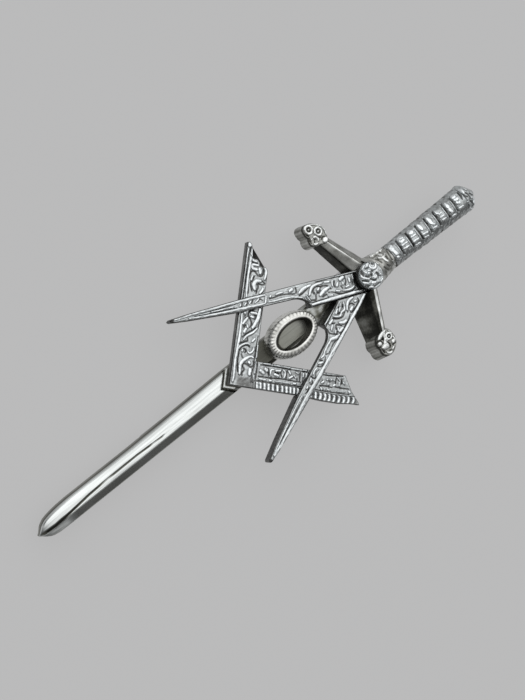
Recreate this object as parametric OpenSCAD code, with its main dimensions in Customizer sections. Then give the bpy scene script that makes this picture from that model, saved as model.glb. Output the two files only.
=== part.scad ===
// Kilt pin: a sword that carries a builder's square and a pair of compasses.
// Lengths are in millimetres. The blade points along -X, the front faces +Z, and the
// hinge and the catch of the pin at the back stand on z = 0.

/* [Blade] */
// Length of the blade from its tip to the guard
blade_l = 69; // [64:0.5:76]
// Width of the blade at the guard
blade_w = 4.5; // [4.2:0.1:5]
// Width of the blade where its point begins
point_w = 3.6; // [3.2:0.1:4.2]
// Length of the curved point
point_l = 7; // [5:0.5:10]
// How far the end of the point leans to one side
point_lean = 0.5; // [0:0.1:0.8]
// Height of the ridge above the flat back
blade_h = 2.6; // [2.3:0.1:3]
// Thickness of the two edges
edge_t = 1.2; // [0.8:0.1:1.6]
// Height of the flat seat that carries the square and the oval
seat_h = 2; // [1.7:0.1:2.2]
// Gap between the step in the blade and the corner of the square
step_gap = 0.8; // [0.4:0.1:1.4]

/* [Guard] */
// Length of the guard's block and collar along the sword
guard_l = 8.8; // [8:0.1:10]
// Distance of each knob's centre from the axis of the sword
knob_y = 11.65; // [10:0.05:14]
// How far the knobs lie ahead of the guard's root
arm_sweep = 3.8; // [2:0.1:4.5]
// Height of the ridge on the guard's arms
guard_h = 5.6; // [5:0.1:6.5]
// Width of an arm at its root
arm_root_w = 4.4; // [3.6:0.1:5]
// Width of an arm at its knob
arm_end_w = 3.2; // [2.4:0.1:3.8]
// Height of the knobs' front faces
knob_top = 4.8; // [4:0.1:5.4]
// Thickness of the knob on the left
knob_left_t = 3.7; // [3:0.1:4.4]
// Thickness of the knob on the right
knob_right_t = 4.7; // [3:0.1:4.7]
// Radius of each of the three lobes of a knob
lobe_r = 1.15; // [0.9:0.05:1.3]

/* [Hilt] */
// Length of the ringed grip
grip_l = 18.6; // [14:0.2:24]
// Radius of the grip at the guard
grip_r = 2.4; // [2.2:0.05:2.6]
// Radius of the grip at the pommel
grip_end_r = 2.8; // [2.5:0.05:2.9]
// Height of the grip's axis above the flat back
grip_axis = 3.2; // [3:0.1:3.6]
// Number of beaded bands round the grip
bands = 8; // [6:1:10]
// Number of beads in each band
beads = 12; // [8:1:16]
// Length of the pommel
pommel_l = 3.6; // [3:0.2:5]
// Radius of the pommel
pommel_r = 2.85; // [2.6:0.05:3]
// Number of ribs on the pommel
pommel_ribs = 8; // [6:1:12]
// Width of the tenon that holds the blade in the guard
tenon_w = 2.6; // [2:0.1:3.2]
// Radius of the pegs that hold the grip and the pommel
peg_r = 0.8; // [0.6:0.05:1]

/* [Square] */
// Distance from the pivot of the compasses to the outer corner of the square
corner_back = 32; // [30:0.5:34]
// Length of each arm along its outer edge
arm_l = 24.8; // [22:0.2:27]
// Width of the scrolled arm
scroll_arm_w = 4.4; // [4:0.1:4.8]
// Width of the ribbed arm
rib_arm_w = 4.75; // [4.2:0.05:5]
// Thickness of the plate without its relief
square_t = 1.25; // [1:0.05:1.6]
// Number of ribs along the ribbed arm
ribs = 24; // [16:1:28]

/* [Compasses] */
// Length of a leg from the pivot to its point
leg_l = 37.4; // [35:0.2:40]
// Angle between a leg and the axis of the sword
leg_angle = 23.1; // [21:0.1:25]
// Width of a leg outside the line from pivot to point
leg_out = 1.55; // [1.3:0.05:1.8]
// Width of a leg inside that line
leg_in = 3.1; // [2.7:0.05:3.3]
// Distance of the shoulder from the pivot
shoulder_s = 11.9; // [10.5:0.1:13]
// Width of a leg below the shoulder
neck_w = 2.25; // [1.8:0.05:2.6]
// Thickness of a leg without its relief
leg_t = 2.1; // [1.8:0.05:2.4]
// Thickness that a leg keeps where it passes over the square
over_t = 0.85; // [0.6:0.05:1.1]
// Radius of the round hub of a leg
hub_r = 2.25; // [2:0.05:2.3]

/* [Boss] */
// Radius of the boss over the pivot
boss_r = 2.45; // [2.2:0.05:2.6]
// Height of the straight side of the boss
boss_h = 1.35; // [0.8:0.05:1.8]
// Radius of the rivet's shank under the boss
shank_r = 0.8; // [0.6:0.05:1]
// Number of petals on the boss
petals = 6; // [5:1:8]

/* [Oval] */
// Distance from the pivot to the middle of the oval
oval_back = 17.45; // [17:0.05:18]
// Length of the oval
oval_l = 10.6; // [9.6:0.1:10.8]
// Width of the oval
oval_w = 7.4; // [6.4:0.1:7.8]
// Length of the hole in the oval
hole_l = 7.7; // [7:0.1:8]
// Width of the hole in the oval
hole_w = 4.2; // [3.6:0.1:4.6]
// Height of the oval
oval_h = 2.4; // [1.8:0.1:2.8]

/* [Pin at the back] */
// Height of the hinge and the catch behind the sword
stand = 3.5; // [3:0.1:4.5]
// Length of the pin's stem from hinge to point
stem_l = 52; // [46:1:58]
// Diameter of the stem
stem_d = 1.2; // [1:0.1:1.3]
// Width of the hinge across the sword
hinge_w = 4.8; // [4:0.1:5.2]
// Width of the catch across the sword
catch_w = 2.8; // [2.8:0.1:4]
// Thickness of the sheet that the hinge and the catch are made from
sheet_t = 0.6; // [0.5:0.05:0.65]

/* [Finish] */
// Height of the raised ornament
relief = 0.3; // [0.2:0.02:0.4]
// Width of the raised rims
rim_w = 0.42; // [0.3:0.02:0.5]
// Gap between neighbouring pieces
gap = 0.05; // [0.03:0.01:0.08]

/* [Hidden] */

overall_l = blade_l + guard_l + grip_l + pommel_l;
hilt_x = blade_l + guard_l;
pommel_x = hilt_x + grip_l;

// The pivot sits over the guard's block, and the emblem is measured from it.
pivot_x = blade_l + hub_r + 0.4;
corner_x = pivot_x - corner_back;
oval_x = pivot_x - oval_back;

square_z = seat_h + gap;
square_top = square_z + square_t + relief;
leg_field = square_top + gap + over_t;
leg_top = leg_field + relief;
leg_z = leg_field - leg_t;
lap_z = leg_z + leg_t / 2;
hub_seat = leg_z - gap;
knob_x = blade_l + arm_root_w / 2 - arm_sweep;
tip_r = 0.3;
neck_s = shoulder_s + 2.8;
bevel = 0.25;
fine = 48;

steel = [0.80, 0.81, 0.82];
cast = [0.72, 0.74, 0.75];
dark = [0.58, 0.59, 0.60];
pale = [0.86, 0.87, 0.88];

// Moves a piece from its own place, x from the blade's tip and z from the sword's
// back, to the common frame.
module placed() {
    translate([-overall_l / 2, 0, stand]) children();
}

// Skin over a row of rings that all have the same number of points
module skin(rings) {
    m = len(rings);
    n = len(rings[0]);
    polyhedron(
        points = [for (ring = rings) each ring],
        faces = concat(
            [[for (j = [n - 1:-1:0]) j]],
            [for (i = [0:m - 2], j = [0:n - 1], half = [0, 1])
                let (a = i * n + j, b = i * n + (j + 1) % n)
                half == 0 ? [a, b, a + n] : [b, b + n, a + n]],
            [[for (j = [0:n - 1]) (m - 1) * n + j]]),
        convexity = 8);
}

// Ring of n points round the X axis at height grip_axis, with a radius for each
function round_ring(x, radii) = let (n = len(radii))
    [for (j = [0:n - 1]) let (a = -360 * j / n)
        [x, radii[j] * cos(a), grip_axis + radii[j] * sin(a)]];

// Blade

// Half the width of the blade at x, an ogive in the point and a slow taper behind it
function blade_half(x) = let (
        body = point_w / 2 + (blade_w - point_w) / 2 * max(0, x - point_l) / (blade_l - point_l),
        u = min(1, x / point_l))
    body * sqrt(max(0, 1 - pow(1 - u, 1.8)));

// Height of the ridge at x
function ridge_h(x) = edge_t + (blade_h - edge_t) * sqrt(min(1, (x + 0.4) / (point_l + 0.4)));

// Cross-section of the blade: flat back, two edges and two bellied faces
function blade_section(x) = let (
        b = max(blade_half(x), 0.12),
        h = ridge_h(x),
        belly = 0.12 * (h - edge_t),
        mid = -point_lean * pow(max(0, 1 - x / (2 * point_l)), 2))
    [[x, mid - b, 0], [x, mid - b, edge_t],
     [x, mid - b / 2, (edge_t + h) / 2 + belly], [x, mid, h],
     [x, mid + b / 2, (edge_t + h) / 2 + belly], [x, mid + b, edge_t], [x, mid + b, 0]];

point_steps = 9;
blade_xs = concat([for (i = [0:point_steps]) point_l * pow(i / point_steps, 1.6)], [blade_l - gap]);

// Corner of the square widened by g, open towards the hilt
module corner_area(g) {
    far = blade_l - corner_x + 2 * g + 1;
    translate([corner_x - g * sqrt(2), 0]) polygon([[0, 0], [far, far], [far, -far]]);
}

module blade() {
    color(pale) placed() {
        difference() {
            skin([for (x = blade_xs) blade_section(x)]);
            translate([0, 0, seat_h]) linear_extrude(blade_h) corner_area(step_gap);
        }
        tenon(0);
    }
}

// Flat tenon at the blade's end, and its socket when it is widened by g
tenon_l = hub_r - shank_r - 0.3;
module tenon(g) {
    translate([blade_l - 1, -tenon_w / 2 - g, 0.4 - g])
        cube([1 + tenon_l + g, tenon_w + 2 * g, seat_h - 0.8 + 2 * g]);
}

// Peg along the grip's axis from x0 over length l
module peg(x0, l, g) {
    translate([x0 - g, 0, grip_axis]) rotate([0, 90, 0]) cylinder(r = peg_r + g, h = l + 2 * g, $fn = fine);
}

// Guard

// The two arms differ a little, as cast: one row for each side holds the width ahead of
// the ridge, how far the wall flares towards the tip at its root and at its knob, all as
// shares of the arm's width, and the height of the ridge as a share of the guard's height.
arm_sides = [[0.28, 0.02, 0.02, 0.9], [0.22, 0.6, 0.3, 1]];

// Thin slice of an arm at distance y from the axis, standing on height z
module arm_slice(y, z, w, row) {
    share = (y - blade_w / 2) / (knob_y - blade_w / 2);
    ridge_x = blade_l + arm_root_w / 2 - arm_sweep * share;
    top = guard_h * row[3] - (1 - bevel) * share;
    ahead = row[0] * w;
    foot = ahead + (row[1] + (row[2] - row[1]) * share) * w;
    behind = 0.67 * w;
    slice_t = 0.05;
    translate([ridge_x, y, 0]) rotate([90, 0, 0]) linear_extrude(slice_t)
        polygon([[-foot, z], [-ahead, top - 2 * bevel], [-bevel, top], [2 * bevel, top],
            [behind, z + (top - z) * 0.4], [behind, z]]);
}

module guard_arm(row, z) {
    hull() {
        arm_slice(blade_w / 2 + 2 * gap, 0, arm_root_w, row);
        arm_slice(knob_y - lobe_r, z, arm_end_w, row);
    }
}

// Knob of three lobes, each with a raised ring and a dot, and a bead at the arm
module knob(knob_t, turn, bead_at) {
    reach = lobe_r * 1.08;
    base = knob_top - knob_t;
    translate([knob_x, knob_y, base]) {
        cylinder(r = lobe_r, h = knob_t, $fn = fine);
        for (k = [0:2]) rotate(turn + 120 * k) translate([reach, 0, 0]) {
            difference() {
                cylinder(r = lobe_r, h = knob_t + relief, $fn = fine);
                translate([0, 0, knob_t]) cylinder(r = lobe_r * 0.66, h = 1, $fn = fine);
            }
            translate([0, 0, knob_t - 0.2]) cylinder(r = lobe_r * 0.3, h = relief + 0.2, $fn = fine);
        }
        rotate(bead_at) translate([reach * 1.7, 0, 0]) {
            cylinder(r = lobe_r * 0.5, h = knob_t, $fn = fine);
            translate([0, 0, knob_t]) sphere(r = lobe_r * 0.5, $fn = 24);
        }
    }
}

// Outline of both legs near the pivot, widened by g
module hub_area(g) {
    translate([pivot_x, 0]) circle(r = boss_r + g, $fn = fine);
    for (s = [1, -1]) leg_place(s) intersection() {
        leg_outline(g);
        translate([-1, -leg_in - 2]) square([shoulder_s, leg_in + leg_out + 4]);
    }
}

module guard() {
    color(dark) placed() difference() {
        union() {
            guard_arm(arm_sides[0], knob_top - knob_left_t);
            knob(knob_left_t, 0, -58);
            mirror([0, 1, 0]) {
                guard_arm(arm_sides[1], knob_top - knob_right_t);
                knob(knob_right_t, 105, 30);
            }
            translate([blade_l, -hub_r - 0.4, 0]) cube([2 * hub_r + 0.8, 2 * hub_r + 0.8, hub_seat + 1]);
            intersection() {
                translate([pivot_x, 0, grip_axis]) rotate([0, 90, 0])
                    cylinder(r1 = hub_r + 1.1, r2 = grip_r, h = hilt_x - pivot_x, $fn = fine);
                translate([0, -knob_y, 0]) cube([overall_l, 2 * knob_y, 2 * guard_h]);
            }
        }
        translate([0, 0, hub_seat]) linear_extrude(2 * guard_h) hub_area(2 * gap);
        translate([pivot_x, 0, 0.8]) cylinder(r = shank_r + gap, h = guard_h, $fn = fine);
        tenon(gap);
        peg(hilt_x - collar_peg, collar_peg + 1, gap);
    }
}

// Grip and pommel

collar_peg = 2.6;
grip_sides = 3 * beads;
band_l = grip_l / bands;

// Rows of a band: share of the band's length, how far it stands out as a share of the
// bead's height, and whether the beads show in it.
band_rows = [[0, -0.9, 0], [0.1, -0.9, 0], [0.18, 0.3, 1], [0.38, 1, 1], [0.58, 0.3, 1],
    [0.66, -0.7, 0], [0.76, 0.2, 0], [0.92, 0.2, 0]];
bead_h = 0.26;

// How much of the grooves shows at angle a: all of them at the front and at the back,
// and half of them at the sides
function groove_share(a) = 0.45 + 0.55 * abs(sin(a));
function grip_radius(x) = grip_r + (grip_end_r - grip_r) * x / grip_l;
function band_ring(x, row) = round_ring(hilt_x + gap + x,
    [for (j = [0:grip_sides - 1]) let (out = row[2] == 1 && j % 3 == 0 ? 0.1 : row[1])
        grip_radius(x) - bead_h * (1 - out) * groove_share(360 * j / grip_sides)]);

module grip() {
    rings = [for (i = [0:bands - 1], row = band_rows)
        let (x = (i + row[0]) * band_l) if (x < grip_l - 0.3) band_ring(x, row)];
    color(cast) placed() {
        difference() {
            skin(concat(rings, [band_ring(grip_l - 2 * gap, band_rows[0])]));
            peg(pommel_x - pommel_peg, pommel_peg + 1, gap);
        }
        peg(hilt_x - collar_peg, collar_peg + 1, 0);
    }
}

// Rows of the pommel: share of its length, share of its radius and depth of the flutes
pommel_rows = [[0, 0.84, 0], [0.06, 0.96, 0.02], [0.28, 1, 0.05], [0.42, 0.97, 0.1], [0.56, 0.84, 0.14],
    [0.74, 0.58, 0.14], [0.9, 0.3, 0.1], [1, 0.1, 0]];
pommel_sides = 4 * pommel_ribs;
pommel_peg = 2.4;

module pommel() {
    color(cast) placed() {
        skin([for (row = pommel_rows) round_ring(pommel_x + row[0] * pommel_l,
            [for (j = [0:pommel_sides - 1])
                pommel_r * row[1] * (1 - row[2] * (j % 4 == 0 ? 1 : j % 4 == 2 ? 0 : 0.35))])]);
        peg(pommel_x - pommel_peg, pommel_peg + 0.5, 0);
    }
}

// Ornament

// Stroke along points, as wide as w at its start and w * thin at its end
module stroke(points, w, thin) {
    n = len(points) - 1;
    normals = [for (i = [0:n]) let (d = points[min(n, i + 1)] - points[max(0, i - 1)]) [-d[1], d[0]] / norm(d)];
    widths = [for (i = [0:n]) w / 2 * (1 + (thin - 1) * i / n)];
    polygon(concat(
        [for (i = [0:n]) points[i] + widths[i] * normals[i]],
        [for (i = [n:-1:0]) points[i] - widths[i] * normals[i]]));
}

// Curl in a cell of length l and width w: it starts at the lower corner, runs over the
// cell and rolls up in its middle, with a leaf in the free corner.
module curl(l, w, steps) {
    turn = -560;
    start = 215;
    r0 = 0.46;
    r1 = 0.1;
    path = [for (i = [0:steps]) let (t = i / steps, r = r0 + (r1 - r0) * pow(t, 0.75), a = start + turn * t)
        [l * (0.5 + r * cos(a)), w * (0.5 + r * sin(a))]];
    stroke(path, 0.2 * min(l, w), 0.55);
    leaf = [for (i = [0:4]) let (t = i / 4) [l * (0.98 - 0.16 * t), w * (0.1 + 0.34 * t - 0.2 * t * t)]];
    stroke(leaf, 0.26 * min(l, w), 0.25);
}

// Row of n curls from s0 to s1 between n0 and n1, turned over from one to the next
module curl_row(s0, s1, n0, n1, n, steps) {
    l = (s1 - s0) / n;
    for (i = [0:n - 1]) translate([s0 + i * l, i % 2 == 0 ? n0 : n1]) mirror([0, i % 2])
        curl(l, n1 - n0, steps);
}

// Raises flat ornament by the relief from height z, rooted a little below it
module raised(z) {
    translate([0, 0, z - 0.2]) linear_extrude(relief + 0.2) children();
}

// Square

// Lays a flat drawing along an arm: x runs along its outer edge and y inwards.
module arm_place(side) {
    translate([corner_x, 0, 0]) rotate(side * 45) mirror([0, side > 0 ? 1 : 0]) children();
}

// End of each arm, from the outer edge inwards: share of end_l back from the end and
// share of the arm's width.
end_l = 5.2;
scroll_end = [[0.02, 0], [0, 0.1], [0.08, 0.22], [0.3, 0.29], [0.42, 0.27], [0.5, 0.33], [0.53, 0.53],
    [0.62, 0.62], [0.7, 0.64], [0.73, 0.75], [0.73, 0.88], [0.8, 0.97], [0.88, 1]];
rib_end = [[0.02, 0], [0.05, 0.08], [0.34, 0.42], [0.42, 0.56], [0.58, 0.83], [0.66, 1]];

module arm_outline(w, end_rows, g) {
    polygon(concat([[0, -g]], [for (r = end_rows) [arm_l - r[0] * end_l + g, r[1] * w + (r[1] * 2 - 1) * g]],
        [[0, w + g]]));
}

module scroll_arm() {
    field = scroll_arm_w - 2 * rim_w;
    linear_extrude(square_t) arm_outline(scroll_arm_w, scroll_end, 0);
    raised(square_t) {
        translate([0, 0]) square([arm_l - 1, rim_w * 1.2]);
        translate([0, scroll_arm_w - rim_w * 0.8]) square([arm_l - end_l - 0.4, rim_w * 0.8]);
        translate([0.2, 0]) square([rim_w, scroll_arm_w]);
        intersection() {
            arm_outline(scroll_arm_w, scroll_end, -0.1);
            curl_row(1, arm_l - end_l + 1.4, rim_w * 1.3, rim_w * 1.3 + field, 4, 16);
        }
    }
}

module rib_arm() {
    band = rib_arm_w * 0.24;
    rail = rib_arm_w * 0.3;
    ledge = rib_arm_w * 0.9;
    start = scroll_arm_w + 0.3;
    pitch = (arm_l - 0.8 - start) / ribs;
    linear_extrude(square_t - 0.15) arm_outline(rib_arm_w, rib_end, 0);
    raised(square_t) {
        for (i = [0:ribs - 1]) translate([start + (i + 0.25) * pitch, 0])
            polygon([[0, 0.05], [pitch * 0.55, 0.05], [pitch * 0.85, band], [pitch * 0.3, band]]);
        translate([start, rail]) square([arm_l - 3.2 - start, rim_w * 0.6]);
        translate([start, ledge]) square([arm_l - end_l * 0.72 - start, rib_arm_w - ledge]);
        curl_row(start + 0.2, arm_l - end_l * 0.6, rail + rim_w * 0.8, ledge - 0.15, 6, 12);
    }
}

module square_piece() {
    color(cast) placed() translate([0, 0, square_z]) {
        arm_place(1) scroll_arm();
        difference() {
            arm_place(-1) rib_arm();
            translate([0, 0, square_t - 0.16]) arm_place(1)
                linear_extrude(1) translate([-1, -1]) square([arm_l, scroll_arm_w + 1.1]);
        }
    }
}

// Compasses

// Lays a flat drawing along a leg: x runs from the pivot to the point, y is the inner
// side when negative.
module leg_place(side) {
    translate([pivot_x, 0, 0]) rotate(180 - side * leg_angle) mirror([0, side > 0 ? 0 : 1])
        mirror([0, 1]) children();
}

// Outline of a leg, widened by g. The inner side drops from the shoulder to the neck in
// a quarter round and both sides run together to the point.
taper_share = 0.68;
slim_share = 0.9;
shoulder_arc = 6;
function leg_points(g) = let (
        neck_in = neck_w * 0.46,
        slim = neck_w * 0.27)
    concat(
        [[-g, leg_out + g], [shoulder_s, leg_out * 0.92 + g], [leg_l * taper_share, neck_w * 0.46 + g],
         [leg_l * slim_share, slim + g], [leg_l - tip_r, tip_r + g], [leg_l + g, 0]],
        [[leg_l - tip_r, -tip_r - g], [leg_l * slim_share, -slim - g],
         [leg_l * taper_share, -neck_w * 0.48 - g]],
        [for (i = [shoulder_arc:-1:0]) let (a = 90 * i / shoulder_arc)
            [shoulder_s + g + (neck_s - shoulder_s) * (1 - cos(a)), -leg_in - g + (leg_in - neck_in) * sin(a)]],
        [[-g, -leg_in * 0.8 - g]]);

module leg_outline(g) {
    polygon(leg_points(g));
}

// Sunk field of a leg between its two rims
module leg_field_area() {
    intersection() {
        leg_outline(-rim_w);
        translate([boss_r + 0.3, -leg_in]) square([leg_l * slim_share - boss_r, leg_in + leg_out]);
    }
}

module leg_relief() {
    difference() {
        leg_outline(0);
        leg_field_area();
    }
    panel = shoulder_s - boss_r - 0.6;
    intersection() {
        leg_field_area();
        union() {
            curl_row(boss_r + 0.6, boss_r + 0.6 + panel, -leg_in + rim_w, leg_out - rim_w, 3, 16);
            for (k = [0, 1]) translate([shoulder_s - 0.1 + 0.7 * k, -leg_in]) rotate(-20)
                square([0.25, leg_in + leg_out + 1]);
            curl_row(neck_s - 0.6, leg_l * taper_share, -neck_w * 0.46 + rim_w * 0.7, neck_w * 0.46 - rim_w * 0.7, 8, 8);
        }
    }
}

// Area that one arm of the square takes, widened by g
module arm_strip(side, w, g) {
    arm_place(side) translate([-2, -g]) square([arm_l + 4, w + 2 * g]);
}

// Distance from the pivot at which a leg crosses the middle of an arm of the square
function crossing_s(w) = (corner_back - w * sqrt(0.5)) / (cos(leg_angle) + sin(leg_angle));

// Leg on one side, thin from the shoulder to the square, without the half that the other
// leg takes at the hub
module leg(side, arm_width, upper) {
    difference() {
        union() {
            translate([0, 0, leg_z]) linear_extrude(leg_t) {
                leg_place(side) leg_outline(0);
                translate([pivot_x, 0]) circle(r = hub_r, $fn = fine);
            }
            translate([0, 0, leg_field - 0.2]) linear_extrude(relief + 0.2) leg_place(side) leg_relief();
        }
        linear_extrude(square_top + gap) {
            arm_strip(side, arm_width, gap);
            leg_place(side) translate([shoulder_s, -leg_in - 1])
                square([crossing_s(arm_width) - shoulder_s, leg_in + leg_out + 2]);
        }
        translate([0, 0, upper ? 0 : lap_z - gap / 2]) linear_extrude(upper ? lap_z + gap / 2 : 2 * leg_top)
            half_lap_area(-side);
        translate([pivot_x, 0, 0]) cylinder(r = shank_r + gap, h = 2 * leg_top, $fn = fine);
    }
}

// Area of the other leg and of the hub that a half-lapped leg gives up
module half_lap_area(side) {
    translate([pivot_x, 0]) circle(r = hub_r + gap, $fn = fine);
    leg_place(side) leg_outline(gap);
}

module compass_leg_left() {
    color(cast) placed() leg(1, scroll_arm_w, true);
}

module compass_leg_right() {
    color(cast) placed() leg(-1, rib_arm_w, false);
}

// Boss and oval

module pivot_boss() {
    head_z = leg_top + gap;
    top_r = boss_r * 0.86;
    color(cast) placed() translate([pivot_x, 0, 0]) {
        translate([0, 0, 0.8 + gap]) cylinder(r = shank_r, h = head_z - 0.5, $fn = fine);
        translate([0, 0, head_z]) cylinder(r = boss_r, h = boss_h * 0.4, $fn = fine);
        translate([0, 0, head_z + boss_h * 0.4]) cylinder(r1 = boss_r, r2 = top_r, h = boss_h * 0.6, $fn = fine);
        for (k = [0:petals - 1]) rotate(360 * (k + 0.5) / petals)
            translate([top_r * 0.67, 0, head_z + boss_h]) sphere(r = top_r * 0.32, $fn = 24);
        translate([0, 0, head_z + boss_h]) sphere(r = top_r * 0.38, $fn = 24);
    }
}

// Rows of the oval's section, going round it: share of the way from the hole to the
// outside, share of the height, and how deep the notches of its outer bevel are.
oval_rows = [[0, 0, 0], [0, 0.82, 0], [0.1, 1, 0], [0.3, 1, 0], [0.42, 0.9, 0.02], [0.95, 0.5, 0.1], [1, 0.36, 0.1],
    [1, 0, 0]];
oval_steps = 72;

module oval_ring() {
    m = len(oval_rows);
    points = [for (i = [0:oval_steps - 1], r = oval_rows) let (
            a = 360 * i / oval_steps,
            u = r[0] - r[2] * (i % 2),
            px = (hole_l + (oval_l - hole_l) * u) / 2,
            py = (hole_w + (oval_w - hole_w) * u) / 2)
        [px * cos(a), py * sin(a), oval_h * r[1]]];
    color(cast) placed() translate([oval_x, 0, seat_h + gap]) polyhedron(
        points = points,
        faces = [for (i = [0:oval_steps - 1], j = [0:m - 1], half = [0, 1]) let (
                k = (i + 1) % oval_steps,
                n = (j + 1) % m)
            half == 0 ? [i * m + j, k * m + j, i * m + n] : [i * m + n, k * m + j, k * m + n]],
        convexity = 8);
}

// Pin at the back: hinge, stem and catch in one plain piece

stem_z = -stand + sheet_t + stem_d / 2 - 0.1;
hinge_x = pivot_x;
hinge_l = 5;
catch_l = 4.5;

// Sheet bent to a channel under the sword: its plate, its walls and, for the catch, its lip
module channel(l, w, walls, lip) {
    translate([-l / 2, -w / 2, -gap - sheet_t]) cube([l, w, sheet_t]);
    for (s = walls) translate([-l / 2, s > 0 ? w / 2 - sheet_t : -w / 2, -stand])
        cube([l, sheet_t, stand - gap]);
    if (lip) translate([-l / 2, -w / 2, -stand]) cube([l, w, sheet_t]);
}

module back_pin() {
    point = stem_d * 2.5;
    color(steel) placed() {
        translate([hinge_x, 0, 0]) {
            channel(hinge_l, hinge_w, [1, -1], false);
            translate([0, -hinge_w / 2 + 0.1, stem_z]) rotate([-90, 0, 0])
                cylinder(d = stem_d * 1.4, h = hinge_w - 0.2, $fn = fine);
        }
        translate([hinge_x - stem_l + point, 0, stem_z]) rotate([0, 90, 0])
            cylinder(d = stem_d, h = stem_l - point, $fn = fine);
        translate([hinge_x - stem_l, 0, stem_z]) rotate([0, 90, 0])
            cylinder(d1 = 0.2, d2 = stem_d, h = point, $fn = fine);
        translate([hinge_x - stem_l + point + catch_l / 2 + 1, 0, 0]) channel(catch_l, catch_w, [1], true);
    }
}

blade();
guard();
grip();
pommel();
square_piece();  // square
compass_leg_left();
compass_leg_right();
pivot_boss();
oval_ring();
back_pin();
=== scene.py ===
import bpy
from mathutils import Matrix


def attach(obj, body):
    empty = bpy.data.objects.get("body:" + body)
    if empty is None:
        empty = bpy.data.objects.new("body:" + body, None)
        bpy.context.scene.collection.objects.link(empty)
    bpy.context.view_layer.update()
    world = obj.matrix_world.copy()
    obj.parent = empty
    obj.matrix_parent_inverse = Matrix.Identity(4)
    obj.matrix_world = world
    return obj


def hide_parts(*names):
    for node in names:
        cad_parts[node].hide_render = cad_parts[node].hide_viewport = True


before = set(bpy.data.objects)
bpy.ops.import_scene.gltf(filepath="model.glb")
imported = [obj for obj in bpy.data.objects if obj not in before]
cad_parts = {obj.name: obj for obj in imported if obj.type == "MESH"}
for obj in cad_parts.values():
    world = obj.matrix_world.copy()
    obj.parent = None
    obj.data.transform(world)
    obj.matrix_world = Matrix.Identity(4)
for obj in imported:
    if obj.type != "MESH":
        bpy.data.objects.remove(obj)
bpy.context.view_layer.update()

import math
import bmesh
import bpy
import numpy as np
from mathutils import Matrix, Vector

SCENE = bpy.context.scene
RNG = np.random.default_rng(7)
MM = 0.001

# The part's own sizes in millimetres, x from the blade's tip and z from the sword's back.
HALF, STAND = 50.0, 3.5
BLADE_L, GUARD_L, GRIP_L, POMMEL_L = 69.0, 8.8, 18.6, 3.6
HILT_X = BLADE_L + GUARD_L
POMMEL_X = HILT_X + GRIP_L
PIVOT_X, CORNER_X = 71.65, 39.65
AXIS_Z = 3.2
SQUARE_Z, SQUARE_FIELD, SQUARE_TOP = 2.05, 3.3, 3.6
LEG_Z, LEG_FIELD, LEG_TOP, LEG_OVER = 2.4, 4.5, 4.8, 3.65
ARM_L, SCROLL_W, RIB_W, ARM_END_CUT = 24.8, 4.4, 4.75, 5.2
LEG_L, LEG_ANGLE, LEG_OUT, LEG_IN = 37.4, math.radians(23.1), 1.55, 3.1
SHOULDER, NECK_W, NECK_L = 11.9, 2.25, 2.8
BOSS_R, BOSS_H, BOSS_Z = 2.45, 1.45, LEG_TOP + 0.05
RING_X, RING_Z, RING_H = PIVOT_X - 17.45, 2.05, 2.4
RING_IN, RING_OUT = (7.7, 4.2), (10.6, 7.4)
KNOB_TOP = 4.8

# Raised forms: reach of the crest, share of the width at the ends, more in the middle. Tone of sunk lines.
CREST_REACH, END_WIDTH, MORE_WIDTH, SUNK_TONE = 1.14, 0.62, 0.38, 0.78
CURVE_STEPS, FAR = 6, 9.0
# How a relief darkens in its hollows: reach and depth in millimetres, level of even ground, strength.
HOLLOW_REACH, HOLLOW_DEPTH, LEVEL, HOLLOW_TONE = 0.25, 0.2, 0.34, 0.6
# How the view leans along and across the hilt per millimetre of height, and the level of the drawn relief.
LEAN_X, LEAN_Y, DRAWN_LEVEL = 0.365, 0.193, 5.2


# Shapes

def to_frame(p):
    q = np.array(p, float)
    q[..., 0] -= HALF
    q[..., 2] += STAND
    return q * MM


def ease(x, a, b):
    """Smooth step from 0 at a to 1 at b."""
    t = unit((x - a) / (b - a))
    return t * t * (3 - 2 * t)


def grid(u, v):
    return np.meshgrid(u, v, indexing="ij")


def points(*axes):
    return np.stack(axes, -1)


def level(x, y, z):
    """Closed row of points at the height z."""
    return points(x, y, np.full(len(x), z))[:, None]


def turn(k):
    """Even angles around a full turn."""
    return np.linspace(0, 2 * math.pi, k, endpoint=False)


def read(rows, x, column=1):
    """Value of a table at x, found by its rising first column."""
    return np.interp(x, rows[:, 0], rows[:, column])


def mix(a, b, share):
    return a * (1 - share) + b * share


def unit(x):
    return np.clip(x, 0, 1)


def cap(x):
    """Rounded bead over |x| < 1."""
    return np.sqrt(unit(1 - x * x))


def blur(h, ru, rv, wrap_v=False):
    """Blurs a height map by ru and rv samples."""
    out = h.astype(float)
    for axis, r, wrap in ((0, ru, False), (1, rv, wrap_v)):
        if r < 0.3:
            continue
        n = max(1, int(math.ceil(r * 2.5)))
        k = np.exp(-0.5 * (np.arange(-n, n + 1) / r) ** 2)
        k /= k.sum()
        pad = [(0, 0), (0, 0)]
        pad[axis] = (n, n)
        src = np.pad(out, pad, mode="wrap" if wrap else "edge")
        out = sum(w * np.take(src, np.arange(i, i + out.shape[axis]), axis=axis) for i, w in enumerate(k))
    return out


def mottle(shape, ru, rv, spread):
    """Soft noise of about unit size over a closed shape."""
    return blur(RNG.standard_normal(shape), ru, rv, True) / spread


def grain(shape, amount=0.012):
    """Fine unevenness of a casting, in millimetres."""
    return amount * blur(RNG.standard_normal(shape), 3, 3) * 3 * 3.5


def beside(p, a, b):
    """Distance of the points p (..., 2) from the line a to b, and how far along it they lie."""
    d = b - a
    t = unit(((p - a) @ d) / max(d @ d, 1e-12))
    return np.linalg.norm(p - a - t[..., None] * d, axis=-1), t


def line_distance(p, line):
    """Distance of the points p from an open polyline."""
    return np.minimum.reduce([beside(p, a, b)[0] for a, b in zip(line[:-1], line[1:])])


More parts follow.
